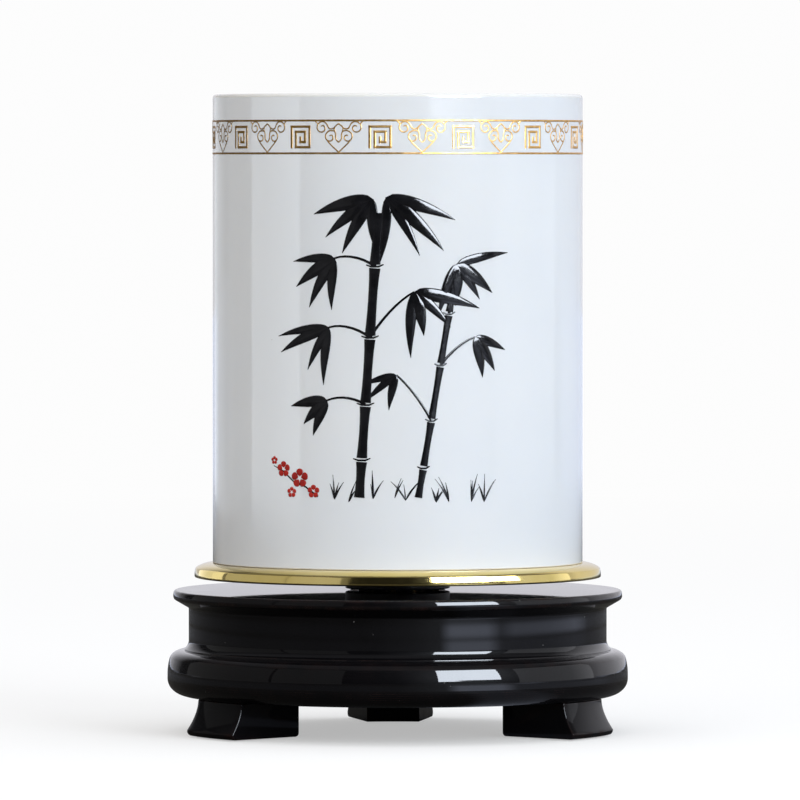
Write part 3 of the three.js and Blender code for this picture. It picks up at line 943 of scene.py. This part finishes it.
def glue_finish():
    material, where = new_finish("set_epoxy")
    cloudy = noise(where, 190.0, 4.0)
    bubbles = group(specks, where, Scale=1100.0, Size=0.22, Amount=0.12)
    colour = ramp(cloudy, (0.3, (0.60, 0.56, 0.42)), (0.7, (0.78, 0.75, 0.64)))
    return dress(material, Base_Color=mix(bubbles, colour, (0.88, 0.87, 0.82)),
                 Roughness=ramp(cloudy, (0.3, 0.18), (0.7, 0.42)), Subsurface_Weight=0.2,
                 Subsurface_Scale=1.0 * mm, Normal=bump(cloudy + bubbles * 0.2, 0.25 * mm))


glue_radius, glue_bottom, glue_top = reach("glue_bead")
glue_width = 3.0
glue_rise = 2.0
glue_edge = 0.1
glue_inner = glue_radius - glue_width
glue = turned_piece("glue_fillet", [
    (glue_inner, glue_bottom),
    (glue_radius, glue_bottom),
    (glue_radius, glue_top - glue_edge),
    *bend(glue_inner, glue_top, glue_width - glue_edge, glue_rise - glue_edge, 0, -90, 8),
], glue_finish())
keep(glue, "pot", "glue", "glue_bead")


# Pot. A straight cylinder of white porcelain, slip-cast with a foot ring, with a clear gloss glaze all
# over but on the foot ring's underside. It is glued to the tray and turns with it.

def porcelain_finish():
    material, where = new_finish("glazed_porcelain")
    bare = maths("LESS_THAN", split(where)[2], (pot_bottom + 0.3) * mm)
    body = ramp(noise(where, 24.0, 4.0), (0.35, (0.800, 0.828, 0.868)), (0.65, (0.830, 0.852, 0.884)))
    dots = group(specks, where, Scale=150.0, Size=0.020, Amount=0.035)
    pinholes = group(specks, where, Scale=520.0, Size=0.06, Amount=0.012)
    speckled = mix(dots * 0.7, body, (0.42, 0.36, 0.30))
    thin_edge = ramp(edges_of(where), (0.3, 0.0), (1.6, 0.5))
    edged = mix(thin_edge, speckled, (0.80, 0.77, 0.71))
    glazed = ramp(noise(where, 60.0, 3.0), (0.3, 0.05), (0.75, 0.095))
    pitted = noise(where, 22.0, 1.0) + noise(where, 230.0, 1.0) * 0.10 - pinholes * 0.25
    return dress(material, Base_Color=mix(bare, edged, (0.74, 0.70, 0.63)),
                 Roughness=mix(bare, glazed, (0.7, 0.7, 0.7)), Normal=bump(pitted, 0.07 * mm, 0.5), IOR=1.5,
                 Subsurface_Weight=0.2, Subsurface_Radius=(1.0, 0.9, 0.8), Subsurface_Scale=1.2 * mm)


pot_radius, pot_bottom, pot_top = reach("pot")
pot_inside = pot_radius - 4.0
pot_floor_top = pot_bottom + 10.0
foot_recess = pot_bottom + 5.0
foot_ring_inside = pot_radius - 9.5
rim_round = 0.9
foot_round = 0.25
inner_fillet = 4.0
recess_round = 1.0
pot = turned_piece("porcelain_pot", [
    (0, foot_recess),
    *corner(foot_ring_inside, foot_recess, recess_round, 0, 5)[::-1],
    *corner(foot_ring_inside, pot_bottom, foot_round, 180, 4),
    *corner(pot_radius, pot_bottom, foot_round, -90, 4),
    *corner(pot_radius, pot_top, rim_round, 0, 8),
    *corner(pot_inside, pot_top, rim_round, 90, 8),
    *corner(pot_inside, pot_floor_top, inner_fillet, -90, 8)[::-1],
    (0, pot_floor_top),
], porcelain_finish(), closed=False)
keep(pot, "pot", "glazed_porcelain", "pot")


# Gold border. Two fired gold lines run round the pot below its rim. Cloud-head lappets hang from the
# upper line, drawn in thin raised gold, and a bold square of key fret stands between each two.

def painting_tree():
    """Makes strokes of edges in the XY plane into low rounded relief and wraps copies round the pot."""
    tree, (strokes, copies, cuts, wall, first_turn, flatness, pooled, rise, finish), result = new_tree(
        "painted_round_the_pot", "GeometryNodeTree", Strokes="Geometry", Copies=1, Cuts=0,
        Pot_Radius=0.0475, First_Turn=0.0, Flatness=0.1, Pooled_Height=0.0, Rise=0.00001, Finish="Material")
    lines = term(tree, "GeometryNodeMeshToCurve", {"Mesh": strokes})
    finer = term(tree, "GeometryNodeSubdivideCurve", {"Curve": lines, "Cuts": cuts})
    breadth = term(tree, "GeometryNodeInputNamedAttribute", {"Name": "breadth"}, "Attribute",
                   data_type="FLOAT")
    section = term(tree, "GeometryNodeCurvePrimitiveCircle", {"Resolution": 10, "Radius": 0.5})
    raised = term(tree, "GeometryNodeCurveToMesh", {
        "Curve": finer, "Profile Curve": section, "Scale": breadth, "Fill Caps": True})
    places = term(tree, "GeometryNodeMeshLine", {
        "Count": copies, "Offset": joined_up(wall * math.tau / copies)})
    spread = term(tree, "GeometryNodeInstanceOnPoints", {"Points": places, "Instance": raised})
    strip = term(tree, "GeometryNodeRealizeInstances", {"Geometry": spread})
    across, up, proud = split(term(tree, "GeometryNodeInputPosition"))
    turn = across / wall + first_turn
    radius = proud * flatness + maths("SQRT", maths("MAXIMUM", proud, 0.0) * pooled) + rise + wall
    around = joined_up(radius * maths("SINE", turn), radius * (maths("COSINE", turn) * -1.0), up)
    wrapped = term(tree, "GeometryNodeSetPosition", {"Geometry": strip, "Position": around})
    finish_tree(wrapped, finish, result)
    return tree


def painted(name, strokes, finish, slot, level, **inputs):
    """Paints strokes on the pot: lists of (across, up, breadth) in millimetres from the given level."""
    points, edges, breadths = [], [], []
    for stroke in strokes:
        first = len(points)
        edges += [(first + i, first + i + 1) for i in range(len(stroke) - 1)]
        points += [(across * mm, (level + up) * mm, 0) for across, up, _ in stroke]
        breadths += [breadth * mm for _, _, breadth in stroke]
    mesh = bpy.data.meshes.new(name + "_strokes")
    mesh.from_pydata(points, edges, [])
    mesh.attributes.new("breadth", "FLOAT", "POINT").data.foreach_set("value", breadths)
    relief = made_by_tree(name, mesh, painting, Pot_Radius=pot_radius * mm, Finish=finish, **inputs)
    keep(relief, "pot", slot)


def gilding_finish():
    material, where = new_finish("fired_gold")
    thin = ramp(noise(where, 900.0, 3.0), (0.3, (0.66, 0.36, 0.10)), (0.7, (0.90, 0.58, 0.22)))
    return dress(material, Base_Color=thin, Metallic=1.0,
                 Roughness=ramp(noise(where, 400.0, 2.0), (0.3, 0.30), (0.7, 0.48)),
                 Normal=bump(noise(where, 2600.0, 2.0), 0.02 * mm))


def curl(across, up, wide, narrow, start, stop):
    """A spiral that closes in from one radius to another, in steps of about 18 degrees."""
    steps = round((stop - start) / 18)
    points = []
    for i in range(steps + 1):
        radius = wide + (narrow - wide) * i / steps
        angle = math.radians(start + (stop - start) * i / steps)
        points.append((across + radius * math.cos(angle), up + radius * math.sin(angle)))
    return points


def sweep(*pulls, steps=7):
    """Cubic curves that run on from one another. Each leans to two points and ends at a third."""
    points = [pulls[0]]
    for i in range(0, len(pulls) - 1, 3):
        points += [bezier(step / steps, *pulls[i:i + 4]) for step in range(1, steps + 1)]
    return points


def lappet_strokes(line):
    """A cloud-head lappet. Its left half is drawn, from the upper gold line down, and mirrored."""
    left = [
        [(-6.5, 0.0)] + curl(-4.5, -1.85, 1.5, 0.4, 140, 490),
        sweep((-5.5, -0.85), (-4.9, 0.1), (-3.4, -0.1), (-2.9, -1.5),
              (-2.6, -2.3), (-1.9, -2.3), (-1.2, -1.85)),
        sweep((0, -0.8), (-0.6, -1.3), (-1.35, -1.6), (-1.15, -2.4),
              (-1.0, -3.1), (-0.7, -3.2), (-0.8, -4.0), (-0.9, -4.8), (-0.4, -5.2), (0, -5.5)),
        sweep((-1.2, -2.7), (-1.8, -2.5), (-2.6, -2.4), (-3.25, -3.15), steps=5)
        + curl(-2.25, -4.2, 1.45, 0.35, 134, 480),
        [(-3.1, -5.05), (-2.4, -5.85), (-1.4, -6.8), (0.5, border_drop - 0.15)],
    ]
    return [[(side * across, up, line) for across, up in stroke] for side in (1, -1) for stroke in left]


def fret_strokes(across, up, line):
    """A square spiral of bars, from its lower left corner inwards. Each bar laps over the next."""
    lengths = (5.2, 5.3, 5.2, 4.0, 3.9, 2.7, 2.6, 1.35, 1.1)
    x, y = across - lengths[1] / 2, up - lengths[0] / 2
    lap = line / 2
    strokes = []
    for i, length in enumerate(lengths):
        right, rise = ((0, 1), (1, 0), (0, -1), (-1, 0))[i % 4]
        start, (x, y) = (x, y), (x + right * length, y + rise * length)
        strokes.append([(start[0] - right * lap, start[1] - rise * lap, line),
                        (x + right * lap, y + rise * lap, line)])
    return strokes


def gold_line(name, level):
    """One fired gold line: a low band with rounded edges, part sunk in the glaze."""
    sunk_radius = pot_radius - gold_line_sunk
    line = turned_piece(name, [
        (sunk_radius, level - gold_line_width / 2),
        *bend(sunk_radius, level, gold_line_sunk + gold_line_relief, gold_line_width / 2, -88, 88, 6),
        (sunk_radius, level + gold_line_width / 2),
    ], fired_gold)
    keep(line, "pot", "fired_gold")


painting = painting_tree()
fired_gold = gilding_finish()
gold_line_width = 0.55
gold_line_relief = 0.07
gold_line_sunk = 0.05
upper_line = pot_top - 6.9
lower_line = pot_top - 15.2
border_drop = lower_line - upper_line
border_copies = 14
border_pitch = math.tau * pot_radius / border_copies
lappet_turn = math.radians(5.5)
lappet_line = 0.34
fret_line = 0.62
gilding_rise = 0.012
gold_line("gold_line_upper", upper_line)
gold_line("gold_line_lower", lower_line)
painted("gold_lappets", lappet_strokes(lappet_line), fired_gold, "fired_gold", upper_line,
        Copies=border_copies, First_Turn=lappet_turn, Flatness=0.35, Rise=gilding_rise * mm)
painted("gold_key_frets", fret_strokes(border_pitch / 2, border_drop / 2, fret_line), fired_gold,
        "fired_gold", upper_line, Copies=border_copies, Cuts=5, First_Turn=lappet_turn, Flatness=0.25,
        Rise=gilding_rise * mm)


# Bamboo. A spray of two canes with hanging leaves, brushed on in thick black enamel that stands proud
# of the glaze, over a low row of grass, with a few small red blossoms beside it.

def enamel_finish(name, colour, dark):
    material, where = new_finish(name)
    return dress(material, Base_Color=ramp(noise(where, 260.0, 3.0), (0.35, dark), (0.65, colour)),
                 Roughness=ramp(noise(where, 700.0, 2.0), (0.3, 0.06), (0.7, 0.15)),
                 Normal=bump(noise(where, 520.0, 2.0), 0.035 * mm, 0.8))


def cane(foot_place, head_place, joints, breadth):
    """A cane: a stroke for each stretch between its joints, and a short bowed one at each joint. Gives
    back the strokes and the joints' places."""
    def along(share):
        return bezier(share, foot_place, head_place)

    marks = [sum(joints[:i]) / sum(joints) for i in range(len(joints) + 1)]
    inset = cane_gap / (head_place[1] - foot_place[1])
    steps = len(cane_waist) - 1
    strokes = [[(*along(lower + inset + (upper - lower - 2 * inset) * k / steps), breadth * waist)
                for k, waist in enumerate(cane_waist)] for lower, upper in zip(marks, marks[1:])]
    half = 0.8 * breadth
    for x, y in map(along, marks[1:-1]):
        strokes.append([(x - half, y + 0.35, 0.3), (x - 0.4 * half, y - 0.1, 0.5),
                        (x + 0.4 * half, y - 0.1, 0.5), (x + half, y + 0.45, 0.3)])
    return strokes, [along(mark) for mark in marks]


def leaf(stem, heading, length, breadth, droop):
    """A leaf: one stroke that swells soon after its stalk, then draws out to a point."""
    x, y = stem
    stroke = []
    for k in range(leaf_steps + 1):
        t = k / leaf_steps
        swell = math.sin(math.pi * t ** 0.62) ** 0.85 if 0 < k < leaf_steps else 0.0
        stroke.append((x, y, max(finest_stroke, breadth * swell)))
        angle = math.radians(heading + droop * t)
        x += length / leaf_steps * math.cos(angle)
        y += length / leaf_steps * math.sin(angle)
    return stroke


def leaf_spray(joint, stem, headings, length, breadth):
    """A twig from a joint of the cane to a fan of leaves, which hang from its end."""
    rise = 0.16 * abs(stem[0] - joint[0])
    (near_x, near_y), (far_x, far_y) = (bezier(share, joint, stem) for share in (0.3, 0.7))
    twig = sweep(joint, (near_x, near_y + rise), (far_x, far_y + rise), stem)
    strokes = [[(x, y, 0.75 - 0.035 * i) for i, (x, y) in enumerate(twig)]]
    for heading in headings:
        droop = -14 if math.cos(math.radians(heading)) > 0 else 14
        strokes.append(leaf(stem, heading + brush.uniform(-7, 7), length * brush.uniform(0.7, 1.15),
                            breadth * brush.uniform(0.62, 0.95), droop))
    return strokes


def grass_strokes(left, right, tufts):
    """A row of grass tufts, each a few thin blades that lean out from one foot."""
    strokes = []
    for i in range(tufts):
        tuft = (left + (right - left) * (i + brush.uniform(0.2, 0.8)) / tufts, brush.uniform(-0.8, 0.8))
        for _ in range(brush.randint(2, 4)):
            heading = brush.uniform(62, 118)
            strokes.append(leaf(tuft, heading, brush.uniform(3.5, 7.5), brush.uniform(0.3, 0.6),
                                (90 - heading) * -0.9))
    return strokes


def blossom_strokes(across, up, span):
    """Five rounded petals about a centre."""
    angles = [math.radians(90 + 72 * k) for k in range(5)]
    petal = ((0.22, 0.12), (0.42, 0.62), (0.70, 0.92), (0.94, 0.72), (1.06, 0.25))
    return [[(across + span * r * math.cos(angle), up + span * r * math.sin(angle), span * breadth)
             for r, breadth in petal] for angle in angles]


brush = random.Random(11)
ink_level = pot_bottom + 18
cane_gap = 0.5
cane_waist = (1.0, 0.9, 0.84, 0.82, 0.84, 0.9, 1.04)
leaf_steps = 14
finest_stroke = 0.14
black_enamel = enamel_finish("black_enamel", (0.010, 0.010, 0.012), (0.004, 0.004, 0.005))
red_enamel = enamel_finish("red_enamel", (0.52, 0.030, 0.020), (0.36, 0.018, 0.014))
tall_cane, tall_joints = cane((-11.5, 0), (-6.5, 73), (10, 14, 17, 18, 14), 2.8)
short_cane, short_joints = cane((3.5, 0), (13.0, 56), (8, 12, 14, 13, 9), 2.0)
ink = tall_cane + short_cane
for joint, stem, headings, length, breadth in (
    (tall_joints[4], (-8.0, 76.0), (-172, -148, -122, -98), 17.0, 3.9),
    (tall_joints[4], (-4.5, 76.5), (-6, -30, -56, -82), 17.5, 4.0),
    (tall_joints[4], (-18.0, 61.0), (-178, -152, -126, -102), 14.5, 3.7),
    (tall_joints[3], (2.5, 52.5), (-14, -40, -68, -98), 15.5, 3.8),
    (tall_joints[3], (-19.5, 43.5), (176, -158, -132, -104), 14.0, 3.6),
    (short_joints[4], (13.5, 59.5), (-24, -52, -80, -112, 22), 14.5, 3.6),
    (short_joints[3], (18.5, 41.0), (-16, -46, -76), 12.5, 3.2),
    (tall_joints[2], (-20.0, 25.0), (-174, -146, -116), 12.0, 3.2),
    (short_joints[2], (-2.0, 31.5), (-168, -140, -110), 10.5, 2.8),
):
    ink += leaf_spray(joint, stem, headings, length, breadth)
ink += grass_strokes(-22.0, 25.0, 9)
blossom_twig = [(-22.5, 0.6, 0.5), (-26.0, 3.0, 0.45), (-29.5, 4.2, 0.4), (-33.0, 7.0, 0.35),
                (-36.0, 8.2, 0.2)]
ink.append(blossom_twig)
blossoms = []
for across, up, span in ((-27.8, 5.2, 2.3), (-32.8, 7.4, 1.9), (-23.8, 1.9, 1.6), (-30.2, 1.6, 1.3),
                         (-35.8, 9.6, 1.0)):
    blossoms += blossom_strokes(across, up, span)
for name, strokes, finish, slot, flatness in (
    ("black_enamel_bamboo", ink, black_enamel, "black_enamel", 0.02),
    ("red_enamel_blossoms", blossoms, red_enamel, "red_enamel", 0.03),
):
    painted(name, strokes, finish, slot, ink_level, Cuts=1, Flatness=flatness,
            Pooled_Height=0.012 * mm, Rise=0.02 * mm)


# Felt cover. A disc of black felt, cut from a sheet and stuck under the stand, over the well with the nut
# in it.

cover_radius, cover_bottom, cover_top = reach("felt_cover")
cover_round = 0.4
cover = turned_piece("felt_cover_disc", [
    (0, cover_bottom),
    *corner(cover_radius, cover_bottom, cover_round, -90),
    (cover_radius, cover_top),
    (0, cover_top),
], black_felt, flats=160, closed=False)
keep(cover, "stand", "black_felt", "felt_cover")


# Studio. A pale floor that fades into a white backdrop, soft boxes, and a camera level with the pot's
# upper half, a little over two metres away. The room in front is dark. For gloss only, the floor glows in
# a painted pattern of bands that stands in for a polished table with the soft boxes mirrored in it:
# painted reflections, dark on the left and near behind, and bright on the right.

def fade(value, start, stop, low=0.0, high=1.0):
    """Maps a value from one range to another, and holds it beyond both ends."""
    return term(value.tree, "ShaderNodeMapRange", {
        "Value": value, "From Min": start, "From Max": stop, "To Min": low, "To Max": high})


def stage_floor():
    """For the camera a pale floor that fades into the backdrop, and for gloss a painted glow in the place
    of a polished table with soft boxes mirrored in it: levels by distance from the object, times levels
    by azimuth, which is 0 in front of the object."""
    size = 6.0
    mesh = bpy.data.meshes.new("floor")
    corners = [(-size, -size, 0), (size, -size, 0), (size, size, 0), (-size, size, 0)]
    mesh.from_pydata(corners, [], [(0, 1, 2, 3)])
    floor = new_object("floor", mesh)
    material, where = new_finish("pale_floor")
    tree = where.tree
    tree.nodes.remove(tree.nodes["Principled BSDF"])
    camera, glossy = ray(tree, "Is Camera Ray"), ray(tree, "Is Glossy Ray")
    away = length_of(where)
    x, y, _ = split(where)
    turn = maths("ARCTAN2", x, y * -1.0) / math.tau + 0.5
    # Painted reflections: bands of glow, seen only in gloss, that stand in for soft boxes mirrored in a
    # table.
    close, near, beyond = (ramp(turn, *((0.5 + azimuth / 360, share) for azimuth, share in levels))
                           for levels in (painted_glow_close, painted_glow_near, painted_glow_beyond))
    painted_glow = maths("MAXIMUM", ramp(away, *painted_glow_close_reach) * close, ramp(away, *painted_glow_near_reach) * near)
    behind = fade(away, 0.95, 1.9, 0.0, backdrop_white) * beyond
    far = fade(away, 0.25, 1.6)
    lift = far * (backdrop_white - floor_lift) + floor_lift
    seen = camera * lift + glossy * maths("MAXIMUM", behind, painted_glow * painted_glow_radiance)
    lit = term(tree, "ShaderNodeBsdfDiffuse", {
        "Color": mix(camera, floor_bounce, mix(far, floor_colour, (0.0, 0.0, 0.0)))})
    glow = term(tree, "ShaderNodeEmission", {
        "Color": mix(camera, painted_glow_colour, white), "Strength": seen})
    feed(tree.nodes["Material Output"], {"Surface": term(tree, "ShaderNodeAddShader", {0: lit, 1: glow})})
    mesh.materials.append(material)


def stage_world():
    """White for the camera and behind the object for gloss, dim in front, and a low even fill."""
    world = bpy.data.worlds.new("studio")
    bpy.context.scene.world = world
    world.use_nodes = True
    tree = world.node_tree
    camera, glossy = ray(tree, "Is Camera Ray"), ray(tree, "Is Glossy Ray")
    x, y, z = split(term(tree, "ShaderNodeTexCoord", output="Generated"))
    behind = fade(y + maths("MAXIMUM", x * 0.5, x * 0.3), 0.6, 0.95, front_gloss, backdrop_gloss)
    overhead = fade(z, 0.42, 0.7, 0.0, ceiling_gloss)
    fill = (1.0 - glossy) * world_fill * (x * fill_lean + 1.0)
    light = glossy * maths("MAXIMUM", behind, overhead) + fill
    fill_colour = mix(x * 0.5 + 0.5, (0.98, 0.95, 0.91), (0.96, 1.0, 1.08))
    feed(tree.nodes["Background"], {
        "Strength": maths("MAXIMUM", light, camera * backdrop_white),
        "Color": mix(camera, mix(glossy, fill_colour, (0.94, 0.935, 1.0)), white)})


def soft_box(name, azimuth, distance, width, bottom, top, radiance, colour=(1, 1, 1), gloss=True,
             diffuse=True, only=None):
    """An upright area lamp. Azimuth 0 is in front of the object, and positive is to its right."""
    lamp = bpy.data.lights.new(name, "AREA")
    lamp.shape = "RECTANGLE"
    lamp.size = width
    lamp.size_y = top - bottom
    lamp.energy = radiance * math.pi * width * (top - bottom)
    lamp.color = colour
    holder = new_object(name, lamp)
    turn = math.radians(azimuth)
    holder.location = (distance * math.sin(turn), -distance * math.cos(turn), (bottom + top) / 2)
    holder.rotation_euler = (math.pi / 2, 0, turn)
    holder.visible_glossy = gloss
    holder.visible_diffuse = diffuse
    holder.visible_camera = False
    if only:
        lit = bpy.data.collections.new(name + "_lights")
        lit.objects.link(only)
        holder.light_linking.receiver_collection = lit


def stage_camera():
    distance = 2.215
    azimuth = math.radians(-2)
    eye_height = 0.1465
    aim = Vector((0.0006, 0, 0.0858))
    data = bpy.data.cameras.new("camera")
    data.sensor_width = 36
    data.lens = 386
    data.clip_end = 50
    camera = new_object("camera", data)
    bpy.context.scene.camera = camera
    camera.location = (distance * math.sin(azimuth), -distance * math.cos(azimuth), eye_height)
    camera.rotation_euler = (aim - camera.location).to_track_quat("-Z", "Y").to_euler()


white = (1.0, 1.0, 1.0)
backdrop_white = 0.98
backdrop_gloss = 0.80
front_gloss = 0.015
ceiling_gloss = 0.2
world_fill = 0.90
fill_lean = 0.2
floor_colour = (0.55, 0.55, 0.55)
floor_bounce = (0.05, 0.047, 0.04)
floor_lift = 0.44
# Painted reflections on the floor, seen only in gloss: glowing bands in the place of soft boxes mirrored in
# a table.
painted_glow_colour = (0.72, 0.79, 1.0)
painted_glow_radiance = 2.6
painted_glow_close_reach = ((0.24, 0.10), (0.28, 0.9), (0.34, 0.9), (0.44, 0.25), (0.47, 0.8), (0.515, 0.8),
                     (0.53, 0.12), (0.56, 0.0))
painted_glow_close = ((-180, 0.03), (20, 0.03), (26, 0.85), (46, 0.85), (54, 0.14), (108, 0.12), (122, 0.04),
               (132, 0.03))
painted_glow_near_reach = ((0.52, 0.0), (0.53, 0.12), (0.56, 1.0), (0.605, 1.0), (0.63, 0.15), (0.70, 0.06))
painted_glow_near = ((-180, 0.02), (20, 0.02), (26, 0.85), (46, 0.85), (54, 0.22), (62, 0.48), (108, 0.40),
              (122, 0.06), (132, 0.03))
painted_glow_beyond = ((-180, 1.0), (-160, 1.0), (-148, 0.3), (-122, 0.1), (-110, 0.06), (14, 0.04), (22, 1.0),
                (50, 1.0), (58, 0.2), (112, 0.2), (124, 1.0))
stage_floor()
stage_world()
soft_box("key", 36, 1.6, 0.80, 0.173, 1.015, 6.8, (0.86, 0.94, 1.0), gloss=False)
soft_box("key_in_gloss", 34, 1.55, 0.90, 0.195, 0.90, 25.0, (0.83, 0.90, 1.0), diffuse=False)
soft_box("right_wall", 86, 1.6, 1.5, 0.0, 0.9, 0.25, (0.88, 0.95, 1.0), gloss=False)
soft_box("right_card", 86, 1.55, 1.5, 0.0, 0.87, 0.72, (0.92, 0.94, 1.0), diffuse=False)
soft_box("left_wall", -40, 1.6, 1.2, 0.35, 1.4, 1.15, (1.0, 0.94, 0.84), gloss=False)
soft_box("left_card", -48, 1.55, 1.05, 0.0, 0.85, 0.16, diffuse=False)
soft_box("left_screen", -100, 1.55, 1.9, 0.0, 0.85, 0.14, diffuse=False)
soft_box("low_left", -84, 1.40, 1.0, 0.0, 0.25, 2.1, (0.84, 0.92, 1.0), diffuse=False, only=pot)
soft_box("low_left_behind", -133, 1.40, 1.6, 0.0, 0.25, 0.6, (0.84, 0.92, 1.0), diffuse=False, only=pot)
soft_box("left_on_tray", -75, 1.50, 2.6, 0.0, 0.85, 0.30, diffuse=False, only=tray)
soft_box("behind_left_on_tray", -137, 1.50, 1.0, 0.0, 0.85, 0.8, diffuse=False, only=tray)
soft_box("key_on_tray", 60, 1.50, 0.56, 0.195, 0.90, 6.0, diffuse=False, only=tray)
stage_camera()
bpy.context.scene.view_settings.view_transform = "Standard"
